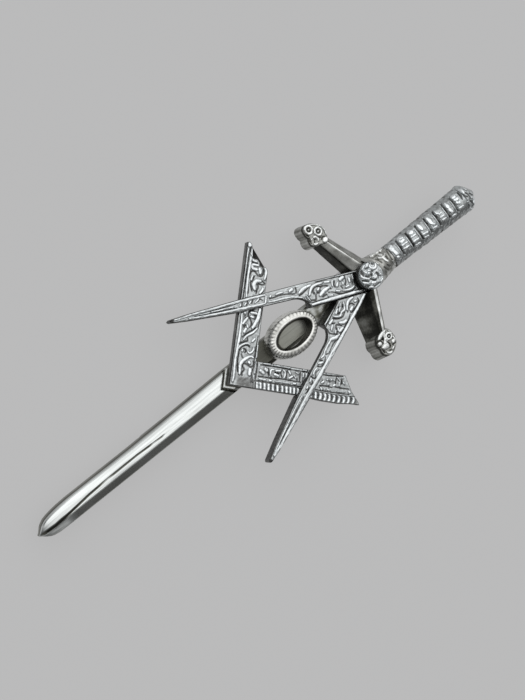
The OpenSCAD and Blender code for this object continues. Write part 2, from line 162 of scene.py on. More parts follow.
def curve(points):
    """Smooth line through given points."""
    p = np.array(points, float).reshape(-1, 2)
    if len(p) < 3:
        return p
    q = np.concatenate([[2 * p[0] - p[1]], p, [2 * p[-1] - p[-2]]])
    t = np.linspace(0, 1, CURVE_STEPS, endpoint=False)[:, None]
    out = []
    for a, b, c, d in zip(q[:-3], q[1:-2], q[2:-1], q[3:]):
        bend = (2 * a - 5 * b + 4 * c - d) * t ** 2
        out.append(0.5 * (2 * b + (c - a) * t + bend + (3 * b - a - 3 * c + d) * t ** 3))
    return np.concatenate(out + [p[-1:]])


def nearest(p, rows, shift):
    """Distance from the nearest line, as a share of that line's half-width."""
    best = np.full(p.shape[:-1], FAR)
    x, y = p[..., 0], p[..., 1]
    for row in rows:
        w, line = row[0], curve(row[1:]) + np.array(shift)
        lo, hi = line.min(0) - 3 * w, line.max(0) + 3 * w
        m = (x > lo[0]) & (x < hi[0]) & (y > lo[1]) & (y < hi[1])
        q = p[m]
        if not len(q):
            continue
        r = best[m]
        n = len(line) - 1
        for i, (a, b) in enumerate(zip(line[:-1], line[1:])):
            far, t = beside(q, a, b)
            middle = np.sin(math.pi * np.clip((i + t) / n, 0.02, 0.98)) ** 0.6
            width = w * (END_WIDTH + MORE_WIDTH * middle) if n > 1 else w
            r = np.minimum(r, far / width)
        best[m] = r
    return best


def ring_row(cx, cy, r, w):
    a = np.linspace(0, 2 * math.pi, 17)
    return (w, *points(cx + r * np.cos(a), cy + r * np.sin(a)).ravel())


def carve(p, raised, sunk, base, height, depth, bright=0.25, shift=(0, 0)):
    """Height map and tone map of raised forms and sunk lines over a plain ground."""
    crest = cap(nearest(p, raised, shift) / CREST_REACH) ** 0.6
    line = np.exp(-1.3 * nearest(p, sunk, shift) ** 2)
    h = height * crest - depth * line * (1 - 0.5 * crest)
    tone = mix(base, bright, crest ** 0.7)
    tone = mix(tone, SUNK_TONE, line * (1 - 0.4 * crest))
    return h, tone


def patina(h, tone, pitch):
    """Wear of a relief: its tone, darker in the hollows and paler on the crests."""
    low = blur(h, HOLLOW_REACH / pitch[0], HOLLOW_REACH / pitch[1]) - h
    hollow = unit(LEVEL + low / HOLLOW_DEPTH)
    return unit(tone + HOLLOW_TONE * (hollow - LEVEL))


def painted_shade_edge(wear_and_painted_light, edge, tone, a, b):
    """Painted shade: the wear with a dark line within a to b of an edge."""
    return np.maximum(wear_and_painted_light, tone * (1 - ease(edge, a, b)))


# Meshes


def add(name, data):
    o = bpy.data.objects.new(name, data)
    SCENE.collection.objects.link(o)
    return o


def quads(m, k, wrap_u, wrap_v, start):
    a, b = grid(np.arange(m if wrap_u else m - 1), np.arange(k if wrap_v else k - 1))
    a2, b2 = (a + 1) % m, (b + 1) % k
    return (points(a * k + b, a2 * k + b, a2 * k + b2, a * k + b2).reshape(-1, 4) + start).tolist()


def piece(name, grids, material, nodes, sharp=38):
    """Joins grids (points, wear and painted light, wrap_u, wrap_v, caps) into one mesh that stands for the
    nodes.
    """
    verts, wear_and_painted_light, faces = [], [], []
    start = 0
    for p, w, wrap_u, wrap_v, caps in grids:
        m, k = p.shape[:2]
        verts.append(to_frame(p).reshape(-1, 3))
        wear_and_painted_light.append(np.broadcast_to(w, (m, k)).reshape(-1))
        faces += quads(m, k, wrap_u, wrap_v, start)
        if caps:
            faces.append([start + j for j in range(k)])
            faces.append([start + (m - 1) * k + j for j in range(k)][::-1])
        start += m * k
    me = bpy.data.meshes.new(name)
    me.from_pydata(np.concatenate(verts).tolist(), [], faces)
    # the attribute holds wear and patina together with painted shade and painted highlights
    layer = me.attributes.new("wear_and_painted_light", "FLOAT", "POINT")
    layer.data.foreach_set("value", np.concatenate(wear_and_painted_light).astype(np.float32))
    bm = bmesh.new()
    bm.from_mesh(me)
    bmesh.ops.dissolve_degenerate(bm, dist=1e-7, edges=bm.edges)
    bmesh.ops.recalc_face_normals(bm, faces=bm.faces)
    bm.to_mesh(me)
    bm.free()
    me.shade_smooth()
    me.set_sharp_from_angle(angle=math.radians(sharp))
    me.materials.append(material)
    o = add(name, me)
    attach(o, "root")
    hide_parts(*nodes)


def few(k, n):
    """Columns of a plain back face, from the last to the first."""
    return np.round(np.linspace(k - 1, 0, n)).astype(int)


def plate(sn, top, bottom, place, top_wear_and_light, wall_shade, drop=0.16, under=9):
    """Closed plate: sn (m, k, 2) in its own plane, heights for its two faces, and walls between them."""
    m, k = top.shape
    back = few(k, under)
    z_top = np.concatenate([top, top[:, -1:] - drop, bottom[:, back], top[:, :1] - drop], 1)
    loop = np.concatenate([sn, sn[:, -1:], sn[:, back], sn[:, :1]], 1)
    # the walls take a tone of painted shade
    wear_and_painted_light = np.concatenate([top_wear_and_light, np.full((m, under + 2), wall_shade)], 1)
    z_top[:, k] = np.maximum(z_top[:, k], bottom[:, -1] + 0.02)
    z_top[:, -1] = np.maximum(z_top[:, -1], bottom[:, 0] + 0.02)
    return place(loop[..., 0], loop[..., 1], z_top), wear_and_painted_light, False, True, True


# Materials

def new(nt, kind):
    return nt.nodes.new("ShaderNode" + kind)


def put(node, **values):
    """Sets sockets of a node, named with _ for each space."""
    for name, value in values.items():
        node.inputs[name.replace("_", " ")].default_value = value


def new_material(name):
    mat = bpy.data.materials.new(name)
    mat.use_nodes = True
    nt = mat.node_tree
    nt.nodes.clear()
    out = new(nt, "OutputMaterial")
    bsdf = new(nt, "BsdfPrincipled")
    nt.links.new(bsdf.outputs["BSDF"], out.inputs["Surface"])
    return mat, nt, bsdf


def noise(nt, scale, detail, rough, stretch=None):
    coord = new(nt, "TexCoord")
    mapping = new(nt, "Mapping")
    if stretch:
        put(mapping, Scale=stretch)
    tex = new(nt, "TexNoise")
    put(tex, Scale=scale, Detail=detail, Roughness=rough)
    nt.links.new(coord.outputs["Object"], mapping.inputs["Vector"])
    nt.links.new(mapping.outputs["Vector"], tex.inputs["Vector"])
    return tex.outputs["Fac"]


def math_node(nt, op, a, b, clamp=False):
    n = new(nt, "Math")
    n.operation = op
    n.use_clamp = clamp
    for i, v in enumerate((a, b)):
        if isinstance(v, (int, float)):
            n.inputs[i].default_value = v
        else:
            nt.links.new(v, n.inputs[i])
    return n.outputs[0]


def swing(nt, value, amount):
    """Turns a noise value into an amount on both sides of zero."""
    return math_node(nt, "MULTIPLY", math_node(nt, "SUBTRACT", value, 0.5), amount)


def wear_and_light_value(nt):
    attr = new(nt, "Attribute")
    attr.attribute_name = "wear_and_painted_light"
    return attr.outputs["Fac"]


def ramp(nt, fac, stops):
    r = new(nt, "ValToRGB")
    el = r.color_ramp.elements
    while len(el) < len(stops):
        el.new(0.5)
    for e, (pos, col) in zip(el, stops):
        e.position = pos
        e.color = (*col, 1) if isinstance(col, tuple) else (col, col, col, 1)
    nt.links.new(fac, r.inputs["Fac"])
    return r.outputs["Color"]


def dress(nt, bsdf, colour, rough, height, strength, distance):
    """Links colour, roughness and bump to a metal."""
    put(bsdf, Metallic=1.0)
    b = new(nt, "Bump")
    put(b, Strength=strength, Distance=distance)
    nt.links.new(colour, bsdf.inputs["Base Color"])
    nt.links.new(rough, bsdf.inputs["Roughness"])
    nt.links.new(height, b.inputs["Height"])
    nt.links.new(b.outputs["Normal"], bsdf.inputs["Normal"])


def silver(name, bright, mid, dark, rough, use_wear_and_light=True):
    """Cast silver-coloured metal: bright where it is rubbed, dark in the recesses, and dark where shade is
    painted on walls and edges.
    """
    mat, nt, bsdf = new_material(name)
    cloud = noise(nt, 420, 5, 0.6)
    fine = noise(nt, 2600, 3, 0.6)
    if use_wear_and_light:
        soft = math_node(nt, "ADD", swing(nt, cloud, 0.4), swing(nt, fine, 0.3))
        fac = math_node(nt, "ADD", wear_and_light_value(nt), soft, True)
    else:
        fac = math_node(nt, "MULTIPLY", cloud, 0.5)
    black = tuple(0.3 * v for v in dark)
    colour = ramp(nt, fac, [(0.0, bright), (0.42, mid), (0.85, dark), (1.0, black)])
    r = math_node(nt, "ADD", math_node(nt, "MULTIPLY", fac, 0.32), rough)
    r = math_node(nt, "ADD", r, swing(nt, fine, 0.12), True)
    dress(nt, bsdf, colour, r, noise(nt, 900, 4, 0.6), 0.25, 0.06 * MM)
    return mat


def blade_material():
    mat, nt, bsdf = new_material("polished_blade")
    wear_and_painted_light = wear_and_light_value(nt)
    streak = noise(nt, 700, 4, 0.6, (0.035, 1, 1))
    fac = math_node(nt, "ADD", wear_and_painted_light, swing(nt, noise(nt, 160, 3, 0.5), 0.25), True)
    # the ramp's dark end paints the shade on the blade's lower facet, edges and seat
    colour = ramp(nt, fac, [(0.0, (0.85, 0.88, 0.87)), (0.35, (0.55, 0.57, 0.56)), (0.75, (0.2, 0.2, 0.17)),
                            (1.0, (0.02, 0.02, 0.018))])
    r = math_node(nt, "ADD", math_node(nt, "MULTIPLY", streak, 0.14), 0.1)
    r = math_node(nt, "ADD", r, math_node(nt, "MULTIPLY", wear_and_painted_light, 0.25), True)
    dress(nt, bsdf, colour, r, noise(nt, 2400, 3, 0.6, (0.02, 1, 1)), 0.12, 0.04 * MM)
    return mat


CAST = silver("cast_silver", (0.9, 0.94, 0.955), (0.56, 0.59, 0.595), (0.2, 0.2, 0.195), 0.2)
RING = silver("warm_silver", (0.88, 0.88, 0.85), (0.62, 0.62, 0.59), (0.2, 0.195, 0.18), 0.28)
# The guard's copy of the cast silver is darker at its mid and dark ends; this paints shade on the guard's
# deep walls.
GUARD_SHADED_SILVER = silver("guard_silver_shaded", (0.9, 0.92, 0.91), (0.5, 0.505, 0.48), (0.12, 0.12, 0.105), 0.24)

BLADE = blade_material()
STEEL = silver("pin_steel", (0.66, 0.66, 0.67), (0.5, 0.5, 0.51), (0.2, 0.2, 0.2), 0.22, use_wear_and_light=False)


# Blade

# Columns: place across the blade, rise towards the ridge, wear and painted light: bright on the flat top,
# painted shade on the lower facet and both edges.
BLADE_SECTION = np.array([
    (-1, 0, 0.85), (-0.975, 0.2, 0.9), (-0.92, 0.34, 0.56), (-0.29, 0.88, 0.5), (-0.25, 0.98, 0.02),
    (-0.1, 0.99, 0.02), (0.05, 0.995, 0.02), (0.2, 0.995, 0.02), (0.38, 1, 0.02), (0.6, 0.99, 0.02),
    (0.74, 0.965, 0.03), (0.9, 0.78, 0.12), (0.94, 0.62, 0.4), (0.95, 0.45, 0.9), (0.98, 0.2, 0.85),
    (1, 0, 0.8)])
# Columns: x, then y of the upper or lower edge.
BLADE_TOP = np.array([
    (0, 0), (0.3, 0.1), (0.6, 0.42), (1.1, 0.85), (2.1, 1.3), (3.1, 1.52), (4.1, 1.66), (5.1, 1.76),
    (7, 1.85), (20, 1.87), (30, 2.05), (40, 2.25), (69, 2.25)])
BLADE_LOW = np.array([
    (0, -0.75), (0.3, -0.95), (0.6, -1.15), (1.1, -1.45), (1.6, -1.7), (2.1, -1.85), (3.1, -2), (5, -2.05),
    (40, -2.08), (50, -2.25), (69, -2.25)])

# Columns: x, then the scratch line's place, strength or width.
LINE_Y = np.array([
    (0, -0.35), (1, -0.48), (3, -0.55), (5, -0.42), (7.5, -0.2), (10, 0.04), (13, 0.16), (20, 0.24),
    (25, 0.04), (30, 0)])
LINE_STRENGTH = np.array([
    (0, 0), (0.6, 0.7), (1.5, 1), (6, 1), (12, 0.95), (14, 0.4), (15.2, 0.85), (22.6, 0.95), (23.4, 0.4),
    (25.2, 0.7), (26, 0)])
LINE_WIDTH = np.array([(0, 0.28), (4, 0.32), (6, 0.22), (12, 0.17), (25, 0.15)])
BLADE_EDGE_Z, BLADE_RISE, SEAT_Z = 1.2, 1.4, 2.0
POINT_TOP, POINT_LOW = -0.36, -0.5


def build_blade():
    n_x, n_y = 420, 120
    u = np.linspace(0, 1, n_x)
    x = BLADE_L * (0.35 * u ** 2.4 + 0.65 * u) - 0.05 * u
    v = np.linspace(-1, 1, n_y)
    X, V = grid(x, v)
    hi, lo = read(BLADE_TOP, X), read(BLADE_LOW, X)
    # the ridge and the end run out to a slightly low point
    point = np.exp(-x / 0.5)[:, None]
    hi, lo = mix(hi, POINT_TOP, point), mix(lo, POINT_LOW, point)
    Y = (hi + lo) / 2 + (hi - lo) / 2 * V
    ridge = BLADE_EDGE_Z + BLADE_RISE * (1 - np.exp(-(X + 0.25) / 1.1))
    rise = blur(read(BLADE_SECTION, V), 0, 1.0)
    wear_and_painted_light = read(BLADE_SECTION, V, 2)
    # painted shade: the upper side of the flat top darkens towards the hilt
    wear_and_painted_light += 0.2 * ease(V, 0.48, 0.64) * (V < 0.94) * ease(X, 6, 22)
    z = mix(BLADE_EDGE_Z, ridge, rise)
    # scratch line along the ridge, and the darker hollow below it near the tip
    line_y = read(LINE_Y, X)
    line = np.exp(-((Y - line_y) / read(LINE_WIDTH, X)) ** 4) * read(LINE_STRENGTH, X)
    z -= 0.12 * line
    wear_and_painted_light = np.maximum(wear_and_painted_light, line)
    low = ease(line_y - Y, 0.2, 0.5) * (1 - ease(X, 4.6, 7.5)) * (V > -0.9)
    wear_and_painted_light = mix(wear_and_painted_light, 0.04, low)
    facet = mix(BLADE_EDGE_Z, ridge, 0.62 + 0.3 * (V + 0.25))
    z = mix(z, facet, low)
    # flat seat behind the V-shaped step
    step = (X - (CORNER_X - 0.8 * math.sqrt(2))) - np.abs(Y)
    seat = ease(step, 0.1, 0.2)
    z = mix(z, np.minimum(z, SEAT_Z), seat)
    # the seat under the emblem is painted dark as shade, darkest towards the tip end, with a random mottle
    # past x 58.3
    cloudy = 0.12 - 0.14 * blur(RNG.standard_normal(X.shape), 1.5, 6) / 0.09
    tone = 0.88 - 0.2 * ease(X, 49.5, 50.5) - ease(X, 58.3, 59.3) * cloudy
    wear_and_painted_light = mix(wear_and_painted_light, np.clip(tone, 0.4, 1), seat)
    # painted shade along the rim of the field that is seen through the ring
    field = np.hypot((X - 55.1) / 3.85, (Y + 0.47) / 2.1)
    wear_and_painted_light = np.maximum(wear_and_painted_light, 0.97 * ease(field, 0.78, 0.93) * (field < 1.25))
    # a groove along the step, painted dark as shade
    notch = np.exp(-((step + 0.02) / 0.22) ** 2)
    z -= 0.5 * notch * (z > 1.5)
    wear_and_painted_light = np.maximum(wear_and_painted_light, notch)
    # painted highlight: a bright V-shaped line on the seat just past the step
    step_highlight = np.exp(-((step - 0.66) / 0.22) ** 2) * (X < 46)
    wear_and_painted_light = mix(wear_and_painted_light, 0.1, step_highlight)
    z += 0.04 * blur(RNG.standard_normal(z.shape), 6, 3)
    back = few(n_y, 9)
    top, under = points(X, Y, z), points(X, Y, z - 0.1)
    loop = np.concatenate([top, under[:, -1:], points(X, Y, 0 * z)[:, back], under[:, :1]], 1)
    # the blade's sides and back are painted dark as shade
    wall = np.full((n_x, 1), 0.75)
    w = np.concatenate([wear_and_painted_light, wall, np.full((n_x, len(back)), 0.7), wall], 1)
    piece("blade_steel", [(loop, w, False, True, True)], BLADE, ["blade"], 30)


# Square

def arm_place(side):
    c = math.sqrt(0.5)

    def place(s, n, z):
        return points(CORNER_X + (s + n) * c, side * (s - n) * c, z)
    return place


def arm_grid(w, start, ends, cells):
    """Grid over an arm from its start to its shaped end, and the distance from that end."""
    v = np.linspace(0, 1, cells[1])
    end = ARM_L - ARM_END_CUT * read(ends, v)
    s = mix(start, end, np.linspace(0, 1, cells[0])[:, None])
    n = np.broadcast_to(v * w, s.shape)
    sn = points(s, n)
    return s, n, sn, line_distance(sn, points(end, v * w))


def edge_round(d, r):
    """How far a rounded edge drops at distance d from the outline."""
    return r * (1 - cap(1 - unit(d / r)))


# Strokes of the relief: half the width, then the two measures of each place in turn.
ARM_A_RAISED = [
    (0.26, 0.7, 0.5, 2, 0.58, 4, 0.5, 6, 0.6, 8, 0.7, 10, 0.72, 12.4, 0.62),
    (0.2, 14.4, 0.2, 17, 0.16, 20, 0.18, 22, 0.2, 23.5, 0.3), (0.36, 24.2, 0.5, 24.4, 0.48),
    (0.18, 22.7, 1.02, 23.6, 0.98), (0.14, 1.1, 4.15, 2.2, 4.15), (0.12, 2.6, 4.2, 4.6, 4.25),
    (0.16, 5.3, 4.25, 7.4, 4.22), (0.3, 2.1, 1.55, 3.1, 1.5, 3.8, 1.55, 4.5, 2, 5, 2.6, 5.3, 3.15),
    (0.3, 2.3, 3.35, 3.1, 3.35), (0.25, 4.2, 3.1, 4.3, 3), (0.22, 5.2, 3.6, 5.3, 3.4),
    (0.2, 7, 3.5, 6.4, 3.45, 5.95, 3.1, 5.9, 2.7, 6.2, 2.5),
    (0.2, 5.4, 0.65, 6.2, 0.7, 6.8, 1.1, 7.25, 1.7, 7.45, 2.3, 7.3, 2.75), (0.2, 6, 1.5, 6.2, 1.55),
    (0.22, 8, 1.5, 8.6, 1.9, 9, 2.4, 9.4, 2.95, 9.9, 3.4, 10.3, 3.7), (0.2, 7.9, 3.1, 8.4, 3.5),
    (0.33, 10.2, 2.85, 10.9, 3.2, 11.8, 3.55, 12.8, 3.75, 13.7, 3.75), (0.22, 12, 2.7, 12.1, 2.3),
    (0.25, 9.3, 1.45, 9.8, 1.65), (0.2, 10.2, 1.95, 10.5, 1.85), (0.26, 10.6, 1.05, 11.2, 1.35, 11.8, 1.7),
    (0.25, 12.75, 3.2, 12.8, 2.3), (0.2, 12.4, 1.2, 12.7, 1.1), (0.25, 13.6, 2.9, 14.2, 2, 14.4, 1.2),
    (0.36, 16.8, 2.35, 17.6, 2.1, 18.25, 2.5, 18.4, 3.2), (0.24, 16.3, 3.35, 16.9, 3.75, 17.3, 3.8),
    (0.24, 18.8, 3.9, 19.8, 4.05, 20.4, 3.95, 20.75, 3.7), (0.3, 19.7, 3, 20.2, 2.95, 20.5, 2.75),
    (0.3, 20.25, 2.3, 20.3, 1.7, 20.7, 1.3), (0.22, 21, 2.4, 21, 1.5),
    (0.22, 21.6, 2.1, 21.7, 1.5, 21.85, 1), (0.22, 15.2, 1, 17, 0.9, 19, 0.85, 21, 0.93, 22.2, 0.9),
    (0.18, 18.3, 1.5, 19, 1.62), (0.16, 22.4, 1.15, 22.5, 1.1)]
ARM_A_SUNK = [
    (0.2, 1.9, 2.1, 2.4, 2.05, 2.9, 2.35, 3.3, 2.1, 3.75, 1.95, 3.95, 2.4, 3.7, 3, 3.55, 3.5, 3.9, 3.9, 4.6,
     3.8),
    (0.16, 2.4, 1.25, 3.2, 1.08, 4.2, 0.98, 5.3, 1.05, 6.1, 1, 6.7, 1.35, 7.05, 1.95, 7.1, 2.45, 6.85, 2.8),
    (0.16, 7.15, 0.8, 7.45, 1.35, 7.7, 1.9, 7.9, 2.3, 8.35, 2.2), (0.18, 4.95, 1.75, 5.4, 1.5),
    (0.18, 5.8, 2.1, 6.2, 2.2, 6.5, 1.8), (0.14, 8.4, 1.3, 8.9, 1.75, 9.4, 2.35, 9.85, 2.95, 10.35, 3.5),
    (0.16, 10.2, 2.4, 10.9, 2.6, 11.5, 2.35, 11.9, 2), (0.14, 11.7, 3.1, 12.2, 3.25, 12.4, 2.9),
    (0.12, 0.9, 3.85, 2.5, 3.8, 4, 3.95, 6, 3.95, 7.5, 4, 9, 4.1),
    (0.14, 10.3, 3.85, 11.5, 4.05, 13, 4.15, 14, 4.2), (0.16, 13.35, 2.7, 13.1, 2, 12.5, 1.8, 12, 1.9),
    (0.16, 16.1, 2.75, 16.7, 2.8, 17.2, 3, 17.8, 2.85), (0.15, 17.9, 4.1, 17.8, 3.5, 17.85, 3),
    (0.13, 18.1, 4.1, 18.5, 3.5), (0.15, 16.4, 1.95, 17.1, 1.65, 17.8, 1.5, 18.4, 1.8, 19.1, 2.1),
    (0.17, 20.95, 2.9, 20.8, 3.35, 20.3, 3.55, 19.7, 3.55, 19.3, 3.35, 19.2, 2.85, 19.55, 2.35, 19.9, 1.9,
     19.75, 1.45, 19.2, 1.2, 18.5, 1.1), (0.13, 14.6, 0.52, 16.7, 0.5, 19, 0.52, 21.5, 0.52, 22.9, 0.62),
    (0.1, 21.4, 0.9, 21.35, 1.6, 21.3, 2.4), (0.12, 23.1, 0.72, 23.8, 0.7), (0.12, 10.1, 1.3, 10.5, 1.6),
    (0.12, 16, 1.3, 17, 1.2)]
ARM_B_RAISED = [
    (0.16, 5.2, 1.82, 6.4, 1.78), (0.2, 7.1, 1.82, 7.4, 1.78), (0.12, 8.2, 1.82, 11, 1.88),
    (0.18, 11.6, 1.93, 12, 1.93), (0.2, 16.8, 2.05, 17, 1.82), (0.14, 17.4, 1.9, 17.6, 1.9),
    (0.16, 18.1, 1.95, 18.5, 1.87), (0.1, 20, 1.9, 21.5, 1.95), (0.22, 22.3, 2.1, 22.45, 1.95),
    (0.3, 6.2, 3.6, 6.4, 3.4), (0.28, 5.3, 3.2, 5.9, 2.85), (0.2, 7.7, 3.75, 7.2, 3.6, 7.15, 3, 7.3, 2.6),
    (0.2, 8.2, 3.6, 8.9, 3.7), (0.24, 8, 2.95, 8.6, 2.8), (0.2, 9.4, 3.95, 9.8, 3.6, 9.85, 3, 9.7, 2.6),
    (0.2, 10.5, 3.9, 10.8, 3.5), (0.2, 10.7, 2.7, 11.2, 3.05), (0.15, 11.9, 3.9, 12.3, 3.7),
    (0.16, 11.5, 3.3, 11.9, 2.9), (0.16, 13.2, 3.9, 13.25, 3.3), (0.2, 13.9, 3.9, 13.9, 3),
    (0.22, 16.9, 2.9, 17.2, 3.15), (0.18, 17.8, 3.6, 17.9, 3.5), (0.17, 18.5, 3.75, 18.7, 3.6),
    (0.15, 19.1, 3.7, 19.3, 3.6), (0.16, 18, 2.8, 18.3, 2.85), (0.22, 19.2, 2.72, 19.45, 2.85),
    (0.17, 19.7, 4.2, 20.1, 3.9, 20.35, 3.6), (0.18, 20.2, 3.3, 20.25, 2.9), (0.18, 21, 3.45, 21.2, 3.3),
    (0.14, 20.6, 4.3, 20.8, 4.2), (0.16, 5.6, 4.5, 6.4, 4.52, 7, 4.55), (0.14, 13.1, 4.5, 13.7, 4.52),
    (0.12, 9.4, 4.5, 10.6, 4.5), (0.12, 17.6, 4.48, 18.5, 4.55), (0.12, 7.6, 4.52, 8.8, 4.5)]
ARM_B_SUNK = [
    (0.1, 4.7, 1.45, 7, 1.43, 9, 1.42, 11, 1.5, 13, 1.53, 16, 1.55, 19, 1.58, 22.4, 1.58),
    (0.12, 5, 2.22, 7.5, 2.22, 9, 2.35, 13, 2.32), (0.13, 16.6, 2.35, 18, 2.42, 19, 2.3),
    (0.13, 19.7, 2.52, 21, 2.48, 22.2, 2.5), (0.14, 6.75, 3.8, 6.8, 3, 6.9, 2.4),
    (0.14, 9.2, 3.9, 9.1, 3.3, 9.4, 2.6), (0.14, 10.2, 3.9, 10.2, 2.4), (0.15, 12.7, 4, 12.75, 2.4),
    (0.1, 12.2, 2.9, 12.3, 2.4), (0.13, 18.2, 3.4, 18.5, 3.2), (0.12, 19.6, 4.1, 19.55, 3.4, 19.6, 2.9),
    (0.13, 20.7, 3.9, 20.75, 3.2), (0.1, 5.2, 4.2, 8.5, 4.25, 10.5, 4.2, 13.9, 4.22),
    (0.1, 10.8, 4.68, 13.5, 4.7), (0.12, 17, 4.25, 18.6, 4.3, 20.9, 4.5),
    (0.15, 4.62, 0.1, 4.62, 2.4, 4.62, 4.6), (0.1, 8, 3.3, 8.8, 3.2)]
RIBS = [
    5, 5.65, 6.4, 7.15, 7.95, 8.8, 9.7, 10.5, 11.25, 11.95, 12.7, 13.5, 14.3, 15.1, 16, 16.85, 17.7, 18.55,
    19.45, 20.4, 21.35, 22.25, 23.2]

LEG_A_RAISED = [
    (0.18, 1.6, 1.36, 4, 1.35, 6.2, 1.28), (0.16, 2.9, 0.9, 2.85, 0.2), (0.25, 3.6, 0.35, 3.6, -0.1),
    (0.34, 4.8, 0.85, 5.3, 0.55), (0.2, 4.95, -0.1, 5, -0.35), (0.24, 6, 0, 6.2, -0.4),
    (0.2, 6.9, 0.8, 7, 0.3, 7.1, -0.3), (0.2, 2.9, -1.1, 3.5, -1.4, 4.4, -1.5, 5.3, -1.4),
    (0.18, 5.9, -1.4, 6.5, -1.2), (0.18, 3.9, -0.8, 4.5, -0.95),
    (0.36, 7.8, -0.35, 8.6, -0.65, 9.2, -1, 9.7, -1.35),
    (0.26, 9, 0.7, 10, 0.65, 10.9, 0.35, 11.4, -0.2, 11.75, -0.9),
    (0.3, 11.2, 0.72, 12.3, 0.5, 13, 0.2, 13.6, -0.2), (0.22, 9.7, -0.1, 10, -0.35),
    (0.15, 10.6, -0.5, 10.5, -0.9), (0.2, 7.6, 0.6, 8.4, 0.7), (0.17, 7.4, -1.8, 8.2, -1.7),
    (0.28, 14.75, 0.72, 15.2, 0.5), (0.2, 16.6, 0.6, 17.2, 0.58, 17.9, 0.5), (0.2, 18.9, 0.45, 19, 0.35),
    (0.2, 13.2, -1.05, 14.4, -0.7, 15.5, -0.52, 17, -0.48, 18.4, -0.52, 19.5, -0.5),
    (0.3, 1.2, -2.05, 2.5, -2.15, 4, -2.25, 6, -2.34, 8, -2.44, 10, -2.54, 11.6, -2.62),
    (0.11, 12.3, -0.9, 12, -1.6, 11.7, -2.2), (0.11, 12.75, -1.1, 12.5, -1.7, 12.2, -2.3),
    (0.2, 19.75, 0.6, 19.9, 0, 20.2, -0.6),
    (0.24, 20.4, -0.6, 22.5, -0.6, 25, -0.58, 28, -0.53, 31, -0.4, 34, -0.26),
    (0.25, 19.9, 0.82, 22, 0.8, 25, 0.72, 28, 0.6, 31, 0.46, 34, 0.3, 36.6, 0.1),
    (0.17, 21.1, 0.45, 21.6, 0.1, 22, -0.1), (0.16, 22.7, 0.3, 23, 0), (0.16, 23.6, 0.2, 23.9, -0.1),
    (0.16, 24.6, 0.1, 24.8, -0.1), (0.14, 26, 0.05, 30, 0.02)]
LEG_A_SUNK = [
    (0.15, 4.3, 0.9, 4.25, 0.1, 4.5, -0.6), (0.15, 6.4, 0.5, 6.65, 0, 6.6, -0.6), (0.13, 5.4, -0.6, 5.2, -1),
    (0.14, 2.6, -1.4, 3.4, -1.8, 4.6, -1.95, 5.8, -1.95, 6.5, -1.65, 7.3, -1.3, 8, -1.2),
    (0.2, 7.4, -0.7, 8, -0.05, 8.8, 0.1, 9.5, -0.1, 9.5, -0.6),
    (0.14, 9.4, 0.1, 10, 0.3, 10.6, 0.05, 10.95, -0.5, 10.8, -0.95),
    (0.12, 9.6, -0.6, 9.9, -0.9, 10.3, -0.8), (0.17, 8.5, -1.5, 9.2, -1.75),
    (0.2, 10.5, -1.3, 10.7, -2, 11.4, -1.9), (0.14, 11.7, 0.35, 12.2, 0, 12.9, -0.4, 13.6, -0.6),
    (0.15, 14, 0.95, 13.95, 0.4, 14.1, -0.1), (0.15, 14.4, -0.15, 15.6, 0.05, 17, 0.15, 18.2, 0.05, 19.2, 0),
    (0.08, 12.1, -0.8, 11.85, -1.4, 11.5, -2), (0.08, 12.5, -1, 12.3, -1.6, 12, -2.2),
    (0.13, 20.5, 0, 20.9, 0.3, 21.3, 0), (0.12, 22.2, 0.4, 22.5, -0.1), (0.12, 23.2, 0.4, 23.5, -0.2),
    (0.12, 24.2, 0.4, 24.4, -0.2), (0.1, 2.6, 1.16, 6, 1.12, 10, 1.06),
    (0.1, 8.2, -2.1, 10, -2.2, 11.5, -2.3), (0.1, 25.4, 0.42, 29, 0.3, 33, 0.15),
    (0.1, 25.4, -0.28, 29, -0.22, 33, -0.1)]
LEG_B_RAISED = [
    (0.34, 3, 1.06, 5, 1.12, 8, 1.08, 12, 0.97, 15, 0.86, 18, 0.76, 21, 0.62, 24, 0.45, 27, 0.4, 30, 0.35,
     33, 0.28, 36, 0.15), (0.28, 4.7, -0.6, 5.4, -0.9, 6.2, -0.95, 7.2, -0.45), (0.26, 6.3, 0.15, 6.8, 0.15),
    (0.22, 4.9, 0.2, 5.1, 0.1),
    (0.2, 6.4, -1.75, 7, -1.25, 7.5, -0.95, 8.2, -1.15, 8.9, -1.1, 9.4, -1.7, 9.6, -2.2),
    (0.18, 7, -2.15, 7.7, -1.8, 8.3, -1.65), (0.2, 8.2, -2.15, 8.9, -2),
    (0.3, 8.9, 0.3, 9.5, 0.05, 9.95, -0.6), (0.27, 10.4, 0.4, 10.9, 0.25, 11.3, 0.1),
    (0.18, 11, -0.3, 11.25, -0.15), (0.34, 11.9, 0.4, 12.6, 0.1, 13.1, -0.35, 13.5, -0.65),
    (0.2, 11, -1.6, 11.6, -1.4, 12, -1.2), (0.22, 10.3, -2, 11.1, -2.12), (0.15, 11.5, -0.55, 12, -0.4),
    (0.17, 7.2, -2.9, 9, -2.85, 11, -2.82, 11.8, -2.9),
    (0.22, 13.6, -0.6, 14.6, -0.62, 15.8, -0.55, 16.5, -0.4, 17.1, -0.6), (0.22, 17.65, 0, 18.2, -0.5),
    (0.18, 19, -0.45, 19.8, -0.6, 20.4, -0.5), (0.17, 21.2, -0.52, 21.8, -0.42),
    (0.17, 22.8, -0.38, 23.1, -0.38), (0.15, 24.5, -0.58, 28, -0.52, 32, -0.36, 36, -0.14)]
